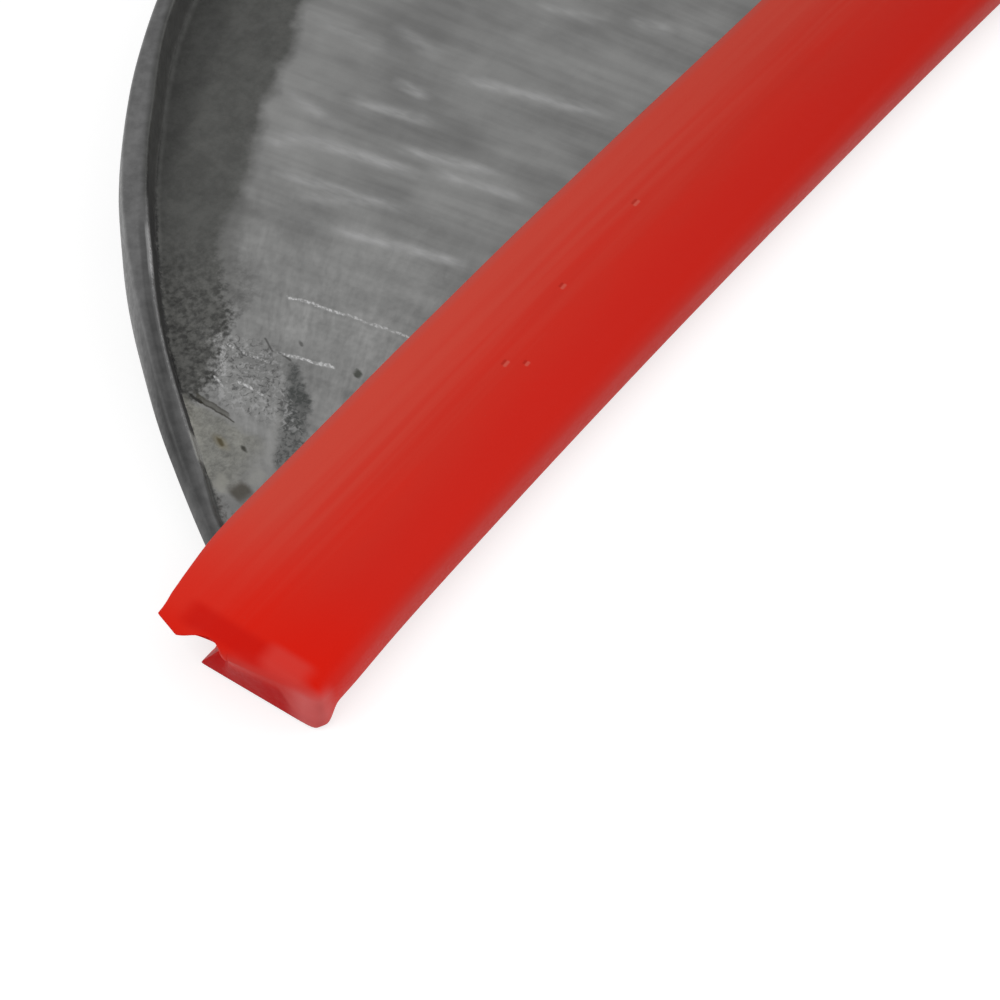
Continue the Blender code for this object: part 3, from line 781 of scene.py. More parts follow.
# The smear by the nose: start and end, width at each.
SMEAR = [((29.6, 11.3), (26.9, 11.0), 0.15, 0.95), ((26.9, 11.0), (19.6, 8.2), 0.95, 1.15)]

# %% What the forged steel reads
forged_steel, shader = new_material("forged_steel")
lay = attribute("lay", "Vector")
distance, inset, share = split(lay)
zone, past_scale, past_rib = attribute("zone"), attribute("past_scale"), attribute("past_rib")
forged, ridge_gleam = attribute("forged"), attribute("ridge_gleam")
place_on = field("ShaderNodeTexCoord", None, "Object")

lines = streaks(lay, 0.50, 0.0, 60.0, 2.0, 0.55, 0.2)
long_lines = streaks(lay, 0.10, 0.0, 42.0)
broad = streaks(lay, 0.16, 0.13, 0.0)
across_streaks = streaks(lay, 0.75, 0.09, 0.0, 2.0, 0.55)
clouds = grain(place_on, 260.0, 3.0, 0.55)
mottle = grain(place_on, 900.0, 4.0, 0.65)
small = grain(place_on, 2400.0, 2.0, 0.6)
flecks = grain(place_on, 3000.0, 2.0, 0.6, 0.8)
fine = grain(place_on, 4200.0, 3.0, 0.6)
near_tip = fade(distance, 42.0, 29.0)

# %% [markdown]
# Grinding lines are noise drawn out along the blade and packed tightly across it. They come and go,
# and show most near the tip. Over them lie the soft streaks of painted highlight on the hammer ridges,
# a little uneven along their length.

# %% The ground web
sharp_detail = fade(distance, 52.0, 32.0, 0.12, 1.0) * fade(distance, 18.0, 27.0, 0.4, 1.0)
line_tone = fade(lines, 0.34, 0.66, -0.09, 0.09) + fade(long_lines, 0.32, 0.68, -0.07, 0.07)
line_tone = line_tone * fade(clouds, 0.3, 0.7, 0.45, 1.25) + sway(small, 0.05)
blotch_tone = fade(broad, 0.3, 0.7, -0.12, 0.10) + sway(clouds, 0.05) + sway(across_streaks, 0.07)
base_tone = fade(distance + inset * 0.6, 44.0, 78.0, 0.345, 0.298)
ground = grey_field(base_tone + (line_tone * sharp_detail + blotch_tone) * 0.33)
ground = blend(1.0, ground, (1.0, 1.0, 0.985, 1), "MULTIPLY")

# Painted highlights: soft bright streaks across the web where ridges between hammer blows catch the light.
# They are also a little smoother.
uneven_gleam = fade(streaks(lay, 1.2, 0.35, 0.0, 2.0, 0.6), 0.3, 0.68, 0.50, 1.25)
ridge_gleams = ridge_gleam * uneven_gleam * fade(zone, 0.4, 0.9)
ground = blend(maths("MINIMUM", ridge_gleams, 1.0), ground, grey(0.62))

# %% The forge scale, and where it meets the ground web
# The scale is real. Next to the rib it is painted darker over a strip as painted shade at the rib's foot, and
# the strip widens up the blade.
past_shade_strip = past_rib - fade(distance, 37.0, 58.0, 0.2, 3.2)
scale_tone = fade(past_shade_strip, -0.7, 0.7, 0.072, fade(distance, 44.0, 56.0, 0.103, 0.093))
specks = sway(small, 0.48) * (near_tip * 0.9 + 0.08)
scale = grey_field(scale_tone * (sway(clouds, 0.08) + sway(mottle, 0.15) + specks + 1.0))
scale = blend(1.0, scale, blend(near_tip, (1.0, 1.01, 0.955, 1), (1.0, 1.0, 0.94, 1)), "MULTIPLY")
# A painted shadow: the dark line where the rib rises, strongest near the tip.
rib_foot_shadow = between(past_rib + sway(mottle, 0.08) + sway(flecks, 0.10), 0.02, 0.20, 0.24)
rib_foot_shadow = rib_foot_shadow * fade(distance, 46.0, 37.0, 0.12, 0.9) * fade(distance, 19.2, 20.2)
scale = blend(rib_foot_shadow, scale, grey(0.026))

# The limit wanders widely up the blade, breaks up finely near the tip, and is a soft fringe between.
breaking = (sway(mottle, 0.9) + sway(small, 1.2)) * (near_tip * 0.34 + 0.04)
ragged = past_scale + sway(clouds, 0.35) + sway(broad, 0.25) + breaking
crisp = fade(ragged, -0.75, 0.65)
fringe = fade(ragged, -1.3, -0.3, 0.0, 0.36) + fade(ragged, -0.2, 2.0, 0.0, 0.64)
on_ground = crisp + (fringe - crisp) * between(distance, 34.5, 43.5, 1.8)
on_web = fade(zone, 0.3, 0.8)
web = blend(on_ground, scale, ground)

# %% [markdown]
# By the nose the web is stained: a yellowish patch, a dark smear beside it, and pale and dark flecks
# round the scratches. Noise shakes each mark's own coordinates a little, which roughens its outline.

# %% Stains and crisp marks by the nose
at_d = distance + sway(mottle, 0.35)
at_in = inset + sway(small, 0.14)
patch = fade(at_d + inset * 0.31, 24.1, 23.0) * fade(at_in - distance * 0.62, -4.9, -7.6)
patch = patch * fade(at_d, 14.6, 16.2)
patch_colour = blend(fade(clouds, 0.35, 0.65), (0.350, 0.345, 0.308, 1), (0.280, 0.278, 0.252, 1))
patch_tone = grey_field(fade(mottle, 0.3, 0.7, 0.78, 1.24) + sway(flecks, 0.16))
web = blend(patch * 0.8, web, blend(1.0, patch_colour, patch_tone, "MULTIPLY"))
for start, end, width, end_width in SMEAR:
    smear = stroke(joined(at_d, at_in), start, end, width, 0.7, end_width)
    web = blend(smear * fade(flecks, 0.36, 0.60, 0.88, 0.484), web, (0.096, 0.101, 0.098, 1))

speckled = between(distance, 24.2, 30.0, 1.6) * between(inset, 4.9, 9.6, 1.3)
pale_flecks = fade(flecks, 0.54, 0.66, 0.0, 0.55) * fade(on_ground, 0.2, 0.8, 0.15, 1.0)
web = blend(speckled * pale_flecks, web, grey(0.56))
web = blend(speckled * fade(flecks, 0.46, 0.34, 0.0, 0.65), web, grey(0.09))
shaken = joined(distance + sway(mottle, 0.12), inset)
dashes = fade(streaks(lay, 2.2, 3.6, 0.0, 2.0, 0.7), 0.40, 0.56) * fade(fine, 0.40, 0.52)
for start, end, width, broken_by, strength in BRIGHT_STROKES:
    line = stroke(shaken, start, end, width, 0.16) * (dashes * broken_by + (1 - broken_by))
    web = blend(line * strength, web, grey(0.78))
for start, end, width, soft, colour, strength in SPOTS:
    web = blend(stroke(shaken, start, end, width, soft) * strength, web, colour)

# %% The rib, dressed along its length
rib_tone = fade(long_lines, 0.3, 0.7, 0.178, 0.218) + sway(mottle, 0.03)
rib_tone = rib_tone * (fade(distance, 18.0, 31.0, 0.60, 1.0) + fade(distance, 18.5, 14.5, 0.0, 0.16))
# By the nose its flat is painted lighter inwards for its tilt, its outer side is painted darker as shade, and
# painted shade stands for a hollow beside the inner corner.
rib_tone = rib_tone * toward(fade(distance, 28.0, 22.0), fade(inset, 0.5, 1.2, 0.84, 1.32))
side_shade = fade(distance, 14.0, 21.0, 0.8, 0.30) + fade(distance, 22.0, 36.0, 0.0, 0.12)
rib_tone = rib_tone * toward(fade(inset, 0.50, 0.30), side_shade)
hollow_shade = between(past_rib, -0.66, -0.34, 0.24) * between(distance, 24.5, 34.0, 4.5)
rib = grey_field(rib_tone * toward(hollow_shade, 0.66))
# A painted highlight makes the inner corner bright for a short way, further up it darkens, and the slope is
# still scale.
rib_corner_gleam = between(past_rib, -0.30, 0.0, 0.10) * between(distance, 22.0, 37.0, 1.8)
rib_corner_gleam_colour = blend(between(distance, 32.4, 35.6, 1.2), grey(0.17), grey(0.35))
rib = blend(rib_corner_gleam * 0.85, rib, rib_corner_gleam_colour)
rib = blend(fade(past_rib, -0.65, 0.0) * fade(distance, 36.5, 40.0), rib, scale)
slope = fade(past_rib, -0.06, 0.06)
rib = blend(slope, rib, scale)

# %% The foot line, the underside, the sharpened edge and the hammered neck
colour = blend(on_web, rib, web)
for low, high, tone, strength in FOOT_MARKS:
    line = between(past_rib, 0.0, 0.30, 0.16) * between(distance, low, high, 0.5) * fade(zone, -0.3, -0.1)
    colour = blend(line * strength, colour, tone)
below = grey_field(fade(long_lines, 0.3, 0.7, 0.24, 0.36) + sway(broad, 0.05))
colour = blend(fade(zone, -0.3, -0.8), colour, below)
sharpened = fade(share, 0.80, 0.86)
whetted = grey_field(fade(streaks(lay, 6.0, 0.25, 0.0, 3.0, 0.6), 0.3, 0.7, 0.40, 0.62))
colour = blend(sharpened * maths("ABSOLUTE", zone), colour, whetted)
hammered = blend(fade(clouds, 0.4, 0.66), grey(0.06), (0.12, 0.105, 0.09, 1))
colour = blend(fade(forged + sway(clouds, 0.2), 0.3, 0.8), colour, hammered)

# %% [markdown]
# Steel is metallic 1 and scale is an oxide, so the metallic value is blended with the colour, and so
# is the roughness. The relief is fine lines on the ground steel, and pits and crust on the scale.

# %% Metal or oxide, roughness and relief
on_rib = (1.0 - on_web) * fade(zone, -0.3, -0.1)
is_scale = maths("MAXIMUM", on_web * (1.0 - on_ground), on_rib * slope)
is_scale = maths("MAXIMUM", is_scale, fade(forged, 0.4, 0.9, 0.0, 0.8))
metallic = fade(is_scale, 0.0, 1.0, 1.0, 0.45)
TREE.links.new(metallic.socket, shader.inputs["Metallic"])
rough = fade(is_scale, 0.0, 1.0, 0.42, 0.60) + sway(small, 0.05) - sharpened * 0.12 - ridge_gleams * 0.08
crust = (mottle + small * 0.6) * (is_scale * 1.1 + 0.18)
relief = (lines + long_lines * 0.6) * 0.18 + crust - rib_foot_shadow * 0.8
dress(shader, colour, rough, relief, 0.00003, 0.8)
print("nodes in the forged steel:", len(TREE.nodes))

# %% [markdown]
# ## Hammer marks as real geometry
# Bump alone leaves the outline of the neck too perfect. The hammer's flat dents and the crust of the
# scale follow a rule, noise pushed along the surface's normal, so Geometry Nodes press them into the
# mesh. The named inputs are the sizes a smith would name: how far apart and how deep the blows are,
# and how thick the crust. The ground web near the edge is left true, because the guard fits over it.

# %% Geometry Nodes: hammer dents and crust
def seeded(vector, size, seed, detail):
    """A noise with features of a size in metres, and a seed."""
    inputs = {"Vector": vector, "W": seed, "Scale": maths("DIVIDE", 1.0, size), "Detail": detail}
    return field("ShaderNodeTexNoise", inputs, noise_dimensions="4D")


def stored(name):
    """A named attribute of the mesh, in Geometry Nodes."""
    return field("GeometryNodeInputNamedAttribute", {"Name": name}, data_type="FLOAT")


hammer_sizes = {
    "Dent spacing": 0.007,
    "Dent depth": 0.0005,
    "Crust size": 0.0012,
    "Crust depth": 0.00016,
    "Seed": 4.0,
}
tree, geometry, sizes, identifiers = new_geometry_tree("hammer_marks", hammer_sizes)
position = field("GeometryNodeInputPosition")
blows = {"Vector": position, "W": sizes["Seed"], "Scale": maths("DIVIDE", 1.0, sizes["Dent spacing"])}
dents = field(
    "ShaderNodeTexVoronoi", {**blows, "Smoothness": 0.7}, voronoi_dimensions="4D", feature="SMOOTH_F1"
)
crust = seeded(position, sizes["Crust size"], sizes["Seed"], 3.0)
forged = stored("forged")
on_scale = fade(stored("zone"), 0.2, 0.9) * fade(stored("past_scale"), 0.0, -1.0)
on_rib = between(stored("zone"), -0.2, 0.2, 0.3)
dent_push = (dents - 0.7) * sizes["Dent depth"] * (on_rib * 0.3 + forged)
crust_push = (crust - 0.55) * sizes["Crust depth"] * (on_scale + forged * 0.6)
push = maths("MINIMUM", dent_push + crust_push, 0.0)
offset = scaled(field("GeometryNodeInputNormal"), push)
moved = field("GeometryNodeSetPosition", {"Geometry": geometry, "Offset": offset})
close_tree(moved, forged_steel)

forging_rough = new_object("forging_rough", forging_mesh, forged_steel)
run_tree(forging_rough, tree, identifiers, hammer_sizes)
blade = freeze(forging_rough, "forged_blade")
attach(blade, "sickle")
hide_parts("blade")

# %% [markdown]
# ## The edge guard as a cage
# The guard is a soft moulded channel: a broad upper leg, a narrower lower leg and a web that joins
# them along the outside. At the tip a wall closes it, and the upper leg runs past that wall as a thin
# flap with a point and a notch. A Boolean would leave hard edges, while moulded plastic has none. So
# the guard is first drawn straight, as a block of cells of which some are filled, and the skin of the
# filled cells is a cage for Catmull-Clark subdivision, which rounds every edge by the size of its
# cells. In the cage, s runs along the edge from the nose, n across towards the back, and z is up.

# %% Planes of the cage
GUARD_HEIGHT = 3.9
FACE = -1.45
WEB_INNER = -0.3
LOWER_LIP = 7.4
UPPER_LIP = 11.15
GUARD_END = 303.0
WALL_OUTER = -5.75
WALL_INNER = -4.9
UPPER_UNDERSIDE = 2.95
# The wall is full as far as FLAP_FREE. Past it the flap is free, with its bite and its point.
FLAP_FREE = 4.8
POINT_AT = 8.3

END_PLANES = [-7.0, -6.3, WALL_OUTER, -5.35, WALL_INNER, -4.4, -3.9, -3.4, -2.8, -2.0, -0.5, 1.5, 4.0]
N_PLANES = [FACE, -1.0, WEB_INNER, 0.6, 1.8, 3.4, FLAP_FREE, 5.4, 5.9, 6.4, 6.9, LOWER_LIP, 7.85, POINT_AT]
N_PLANES += [9.4, 10.6, UPPER_LIP]
Z_PLANES = [0, 0.3, 0.7, 0.95, 1.95, UPPER_UNDERSIDE, 3.2, 3.6, GUARD_HEIGHT]


def guard_stations():
    """Planes across the guard: close together at the tip, then every few millimetres to the heel."""
    found = list(END_PLANES)
    for stop, step in ((76, 3.6), (GUARD_END - 2, 5.0)):
        start = found[-1]
        count = round((stop - start) / step)
        found += [start + (stop - start) * k / count for k in range(1, count + 1)]
    return found + [GUARD_END - 1, GUARD_END - 0.4, GUARD_END]


def filled(s, n, z):
    """Whether a cell of the straight guard is plastic, from the middle of the cell."""
    if z > UPPER_UNDERSIDE:
        return s > WALL_OUTER or n > FLAP_FREE
    if s < WALL_OUTER or n > LOWER_LIP:
        return False
    return s < WALL_INNER or n < WEB_INNER or z < GUARD_WALL


# %% [markdown]
# The cage's end is then bent to the real outline. The flap's edge has a corner, a point and a
# shallow bite, the wall below it is set back and leans, its side slopes, and the outer corner is
# round. The closed side of the channel is rounded by mapping a square onto a quarter of a disc.

# %% Shape the cage's end and its round side
# Where the flap ends (s) for each distance across (n), and the same for the wall at the bench.
FLAP_EDGE = [(-1.45, -5.52), (0, -5.65), (2.15, -5.88), (4.07, -6.30), (4.8, -6.46), (5.4, -6.42)]
FLAP_EDGE += [(5.9, -6.20), (6.4, -6.18), (6.9, -6.34), (7.4, -6.58), (7.85, -6.86)]
FLAP_EDGE += [(POINT_AT, -7.01), (UPPER_LIP, -6.50)]
WALL_FOOT = [(-1.45, -5.74), (7.6, -5.98)]
# How far the flap stands past the wall's top, and how far its free end is cut under at a slant.
OVERHANG = [(4.2, 0.0), (5.4, 0.25), (5.9, 0.6), (LOWER_LIP, 0.9)]
UNDERCUT = [(5.4, 0), (6.1, 0.6), (6.9, 1.0), (POINT_AT, 0.9)]
# How round the end's upper edge is: full where the wall stands under it, crisp on the free flap.
END_ROUNDING = [(4.0, 1.1), (5.6, 0.35), (6.5, 0.08)]
# How the wall's lean curves, how far its top is set back, and how far across it reaches at the bench
# and loses by its top.
WALL_LEAN = 1.5
WALL_TOP_BACK = 0.25
WALL_REACH = 7.65
WALL_REACH_LOST = 2.0
SIDE_ROUNDING = 1.6
FOOT_ROUNDING = 0.25
CORNER_ROUNDING = 0.8
FOOT_BULGE = 0.1
FOOT_BULGE_ACROSS = -0.9
FOOT_BULGE_HEIGHT = 1.2
# Where the end's own shape begins and the length over which it comes in, and the same for the droop.
END_BEGINS = -3.9
END_EASE = 0.9
DROOP_BEGINS = -4.4
DROOP_EASE = 2.4
# How much the lip draws in towards the flap's corner, how far that corner hangs down, and how much
# the round side fills out.
LIP_DRAWN_IN = 0.95
LIP_DRAWN_FROM = 0.2
LIP_DRAWN_LENGTH = 6.6
SIDE_FILLED_ACROSS = 6
DROOP = [(6.9, 0), (POINT_AT, 0.34), (UPPER_LIP, 0.1)]
SIDE_FILLED = [(-2, 0.19), (2, 0.05), (6, 0)]


def toward_disc(a, b):
    """Carry a point of a unit square's corner onto a quarter disc: a and b are 1 on the square's sides."""
    return a * math.sqrt(1 - b * b / 2), b * math.sqrt(1 - a * a / 2)


def shaped(s, n, z):
    """Where a corner of the straight cage goes in the real guard's cross and end shape."""
    flap = table(FLAP_EDGE, n)
    foot = table(WALL_FOOT, n)
    raised = max(0, (z - UPPER_UNDERSIDE) / (GUARD_HEIGHT - UPPER_UNDERSIDE))
    end = flap + table(UNDERCUT, n) * (1 - raised)
    top = flap + table(OVERHANG, n)
    lean = (min(z, UPPER_UNDERSIDE) / UPPER_UNDERSIDE) ** WALL_LEAN
    wall = foot + (top - foot) * lean + WALL_TOP_BACK * raised
    if s <= -7.0:
        new_s = end
    elif s < WALL_OUTER:
        new_s = (end + wall) / 2
    elif s == WALL_OUTER:
        new_s = flap if n <= FLAP_FREE and z > UPPER_UNDERSIDE else wall
    elif s < WALL_INNER:
        new_s = (wall + WALL_INNER) / 2
    else:
        new_s = s
    new_n = n
    if WALL_OUTER <= s <= WALL_INNER and z <= UPPER_UNDERSIDE and FLAP_FREE < n <= LOWER_LIP:
        far = WALL_REACH - WALL_REACH_LOST * z / UPPER_UNDERSIDE
        new_n = FLAP_FREE + (far - FLAP_FREE) * (n - FLAP_FREE) / (LOWER_LIP - FLAP_FREE)
    if n > POINT_AT:
        drawn = min(1, max(0, (LIP_DRAWN_FROM - s) / LIP_DRAWN_LENGTH))
        new_n -= LIP_DRAWN_IN * drawn * (n - POINT_AT) / (UPPER_LIP - POINT_AT)
    new_z = z
    rounding = table(END_ROUNDING, n)
    from_end = (new_s - flap) / rounding
    from_top = (GUARD_HEIGHT - z) / rounding
    if from_end < 1 and from_top < 1:
        a, b = toward_disc(1 - from_end, 1 - from_top)
        new_s = flap + rounding * (1 - a)
        new_z = GUARD_HEIGHT - rounding * (1 - b)
    near_end = smooth((END_BEGINS - s) / END_EASE)
    side_filled = table(SIDE_FILLED, s)
    new_n -= side_filled * max(0, 1 - (n - FACE) / SIDE_FILLED_ACROSS)
    if n < FOOT_BULGE_ACROSS:
        new_n -= FOOT_BULGE * near_end * max(0, 1 - z / FOOT_BULGE_HEIGHT)
    side = FACE - side_filled
    foot_radius = SIDE_ROUNDING + (FOOT_ROUNDING - SIDE_ROUNDING) * near_end
    for edge_z, sign, radius in ((GUARD_HEIGHT, 1, SIDE_ROUNDING), (0, -1, foot_radius)):
        from_face = (new_n - side) / radius
        from_edge = abs(edge_z - new_z) / radius
        if from_face < 1 and from_edge < 1:
            a, b = toward_disc(1 - from_face, 1 - from_edge)
            new_n = side + radius * (1 - a)
            new_z = edge_z - sign * radius * (1 - b)
    corner_s = foot + CORNER_ROUNDING
    from_end = (corner_s - new_s) / CORNER_ROUNDING
    from_side = (side + CORNER_ROUNDING - new_n) / CORNER_ROUNDING
    if from_end > 0 and from_side > 0:
        a, b = toward_disc(min(1, from_end), from_side)
        new_s = corner_s - CORNER_ROUNDING * (a + max(0, from_end - 1))
        new_n = side + CORNER_ROUNDING * (1 - b)
    hang = smooth((DROOP_BEGINS - new_s) / DROOP_EASE)
    new_z -= table(DROOP, n) * hang * min(1, z / UPPER_UNDERSIDE)
    return Vector((new_s, new_n, new_z)) * MM


# %% Skin the filled cells
def crease(a, b):
    """How crisp the cage's edge between two corners of the grid is."""
    same_s, same_n, same_z = (p == q for p, q in zip(a, b))
    at_end, at_wall = same_s and a[0] == 0, same_s and a[0] == END_PLANES.index(WALL_OUTER)
    if at_end and same_n and a[1] in (N_PLANES.index(POINT_AT), len(N_PLANES) - 1):
        return 0.8
    if at_end and same_n and a[1] == N_PLANES.index(LOWER_LIP):
        return 0.3
    rims = (len(Z_PLANES) - 1, Z_PLANES.index(UPPER_UNDERSIDE))
    if at_end and same_z and a[2] in rims and a[1] >= N_PLANES.index(6.4):
        return 0.7
    if at_wall and (same_z and a[2] == 0 or same_n and a[1] == N_PLANES.index(LOWER_LIP)):
        return 0.75
    return 0


def cage_mesh():
    """Quads between filled and empty cells, with a crease where the flap and the end were cut crisp."""
    planes = (guard_stations(), N_PLANES, Z_PLANES)
    counts = [len(p) - 1 for p in planes]

    def solid(cell):
        if any(c < 0 or c >= counts[axis] for axis, c in enumerate(cell)):
            return False
        return filled(*((planes[axis][c] + planes[axis][c + 1]) / 2 for axis, c in enumerate(cell)))

    corners, faces = {}, []
    for cell in ((i, j, k) for i in range(counts[0]) for j in range(counts[1]) for k in range(counts[2])):
        if not solid(cell):
            continue
        for axis in range(3):
            u, v = (axis + 1) % 3, (axis + 2) % 3
            for side in (0, 1):
                beside = list(cell)
                beside[axis] += 1 if side else -1
                if solid(beside):
                    continue
                loop = []
                for du, dv in ((0, 0), (1, 0), (1, 1), (0, 1)):
                    key = list(cell)
                    key[axis] += side
                    key[u] += du
                    key[v] += dv
                    loop.append(corners.setdefault(tuple(key), len(corners)))
                faces.append(loop if side else loop[::-1])
    keys = list(corners)
    mesh = bpy.data.meshes.new("guard_cage")
    mesh.from_pydata([shaped(*(planes[axis][k] for axis, k in enumerate(key))) for key in keys], [], faces)
    creases = mesh.attributes.new("crease_edge", "FLOAT", "EDGE")
    for edge in mesh.edges:
        creases.data[edge.index].value = crease(*(keys[v] for v in edge.vertices))
    mesh.shade_smooth()
    print("cage faces:", len(mesh.polygons))
    return mesh


# %% [markdown]
# ## The guard's finish
# The guard is a soft, slightly waxy plastic: strong red, with a faint gloss. A painted sheen makes it
# paler and browner along the lips and deeper red by the side, painted highlights lie on the rounded
# side and the corner of the end, and painted shade darkens the end's wall and the lip's rounded edge.
# The finish reads s, n and z, which each point of the guard carries with it. A few nicks show where the
# plastic was pricked, each with a painted highlight and a painted shadow.

# %% Red plastic: body, lips and side
red_plastic, shader = new_material("red_plastic")
lay = attribute("lay", "Vector")
s, n, z = split(lay)
cloud = streaks(lay, 0.10, 0.30, 0.3, 3.0)
streak = streaks(lay, 0.05, 1.6, 1.6)
speck = grain(lay, 4.5, 3.0, 0.6)
body = blend(fade(cloud, 0.35, 0.65), (0.565, 0.0270, 0.0160, 1), (0.590, 0.0245, 0.0140, 1))
# Painted shade: a deeper red on the top towards the side, where less light is reflected.
body = blend(fade(n, 4.5, 0.8, 0.0, 0.8), body, (0.580, 0.0170, 0.0100, 1))
# Painted highlight: pinker along the rounded side.
body = blend(fade(n, -0.9, -1.7, 0.0, 0.8), body, (0.565, 0.060, 0.050, 1))
# Painted sheen: paler and browner towards the upper lip, less so at the end.
lip_sheen = fade(n + sway(streak, 0.8), 3.5, 10.4) * fade(z, 2.0, 3.4) * fade(s, -7.0, -4.8, 0.1, 0.95)
body = blend(lip_sheen * 0.9, body, (0.570, 0.064, 0.042, 1))
# Painted shade: darker and greyer on the lip's rounded edge.
body = blend(fade(n, 10.3, 10.9, 0.0, 0.5), body, (0.44, 0.085, 0.070, 1))

# %% Red plastic: the end
# The end is a clear red, and its wall is painted a dark red as painted shade, darkest low down. A painted
# highlight lies where the top rolls over into the wall, and a pale painted highlight on the outer corner;
# the top has a saturated band of painted shade where it turns down, and a pale painted highlight beside it.
on_top = fade(z, 3.1, 3.6)
body = blend(fade(s, 5.0, -5.0, 0.0, 0.65), body, (0.69, 0.008, 0.001, 1))
# Painted shade: the wall is painted dark red, most towards its foot.
wall = fade(s, -5.0, -5.5) * fade(z + sway(cloud, 0.3), 3.1, 1.6)
body = blend(wall * 0.9, body, (0.41, 0.003, 0.003, 1))
# Painted highlight where the top rolls over into the wall.
above_low = z - fade(n, 1.6, 0.2, 2.8, 1.2)
roll_gleam = fade(above_low, -0.7, 0.0) * fade(z, 3.3, 3.95, 1.0, 0.0)
roll_gleam = roll_gleam * fade(s, -4.9, -5.4) * between(n, -1.6, 4.2, 1.6)
body = blend(roll_gleam * 0.65, body, (0.56, 0.052, 0.044, 1))
# Painted highlight on the outer corner of the end.
corner = fade(s, -3.8, -5.1) * fade(n, 1.3, -0.5) * fade(z, 3.5, 2.6) * fade(cloud, 0.3, 0.7, 0.6, 0.9)
body = blend(corner, body, (0.63, 0.135, 0.130, 1))
# Painted shade: a saturated band where the top turns down to the wall.
band_shade = between(s, -5.7, -4.8, 0.8) * on_top * between(n, 3.4, 8.0, 1.5)
body = blend(band_shade * 0.75, body, (0.55, 0.008, 0.004, 1))
# Painted highlight: a pale patch on the top beside the band.
pale_gleam = between(s, -5.3, -4.5, 0.7) * on_top * between(n, 0.4, 2.2, 1.3)
body = blend(pale_gleam * 0.6, body, (0.620, 0.056, 0.044, 1))

# %% Red plastic: brightness along, nicks and gloss
# Small nicks on the top: s, n and length in millimetres. Each has a painted highlight along one side and a
# painted shadow along the other.
NICKS = [(21.8, 4.56, 0.35), (22.7, 3.46, 0.2), (29.5, 5.55, 0.3), (38.6, 6.15, 0.4)]
# Brighter towards the tip and darker further along.
body = blend(1.0, body, grey_field(fade(s, 2.0, 75.0, 1.12, 0.93)), "MULTIPLY")
on_plan = joined(s, n)
for at_s, at_n, size in NICKS:
    nick_gleam = stroke(on_plan, (at_s, at_n), (at_s + size, at_n + 0.02), 0.10, 0.14)
    nick_shade = stroke(on_plan, (at_s + 0.03, at_n + 0.22), (at_s + size, at_n + 0.24), 0.08, 0.12)
    body = blend(nick_gleam * 0.45, body, (0.62, 0.16, 0.12, 1))
    body = blend(nick_shade * 0.35, body, (0.24, 0.006, 0.003, 1))
body = blend(fade(speck, 0.68, 0.8, 0.0, 0.4), body, (0.60, 0.06, 0.04, 1))
rough = fade(cloud, 0.3, 0.7, 0.40, 0.50) + sway(speck, 0.04) + lip_sheen * 0.06
# The gloss is faint and takes on the plastic's own red, as on a soft, slightly clear moulding.
shader.inputs["Specular IOR Level"].default_value = 0.07
shader.inputs["Specular Tint"].default_value = (1.0, 0.35, 0.35, 1)
dress(shader, body, rough, grain(lay, 1.3, 3.0) + speck * 0.12, 0.00006, 0.5)
print("nodes in the red plastic:", len(TREE.nodes))

# %% [markdown]
# ## Lay the guard along the edge
# The straight guard now has to follow the cutting edge, which is a path, so Geometry Nodes bend it:
# for each point, Sample Curve finds the place and the direction of the edge at the point's s, and the
# point is set n across from it and z above the bench. The same tree first stores s, n and z on the
# mesh for the finish, and adds the slight unevenness of a soft moulding: long waves along the lips
# and small lumps by the closed end.

# %% The path, and Geometry Nodes that bend the guard along it
RUN_UP = 12.0
PATH_STEPS = 1000
PATH_OVERRUN = 4
# An arc of this radius is straight.
STRAIGHT = 1e6


def edge_path():
    """The cutting edge as a helper curve, run on straight past the nose and past the heel."""
    start = -RUN_UP * direction(EDGE_HEADING)
    chain = (start, EDGE_HEADING, [(STRAIGHT, RUN_UP)] + EDGE_ARCS)
    curve = bpy.data.curves.new("edge_path", "CURVE")
    curve.dimensions = "3D"
    spline = curve.splines.new("POLY")
    length = GUARD_END + RUN_UP + PATH_OVERRUN
    spline.points.add(PATH_STEPS)
    for k, target in enumerate(spline.points):
        point, _ = along(chain, length * k / PATH_STEPS)
        target.co = (*place(point), 1)
    return new_object("edge_path", curve)


path = edge_path()
guard_sizes = {
    "Run up": MM * RUN_UP,
    "Wave length": 0.045,
    "Wave depth": 0.0005,
    "Lump size": 0.0035,
    "Lump depth": 0.0005,
    "Lumps reach": -0.001,
    "Seed": 2.0,
}
tree, geometry, sizes, identifiers = new_geometry_tree("lay_along_edge", guard_sizes)
position = field("GeometryNodeInputPosition")
in_mm = scaled(position, 1000.0)
keep = {"Geometry": geometry, "Name": "lay", "Value": in_mm}
kept = field("GeometryNodeStoreNamedAttribute", keep, data_type="FLOAT_VECTOR", domain="POINT")
s, n, z = split(position)
above = maths("DIVIDE", z, MM * GUARD_HEIGHT)
drawn_out = vector_maths("MULTIPLY", position, (1.0, 0.15, 0.15))
wave = (seeded(drawn_out, sizes["Wave length"], sizes["Seed"], 2.0) - 0.5) * sizes["Wave depth"]
lump = (seeded(position, sizes["Lump size"], sizes["Seed"], 2.0) - 0.5) * sizes["Lump depth"]
lump = lump * fade(s, sizes["Lumps reach"], -0.005) * above

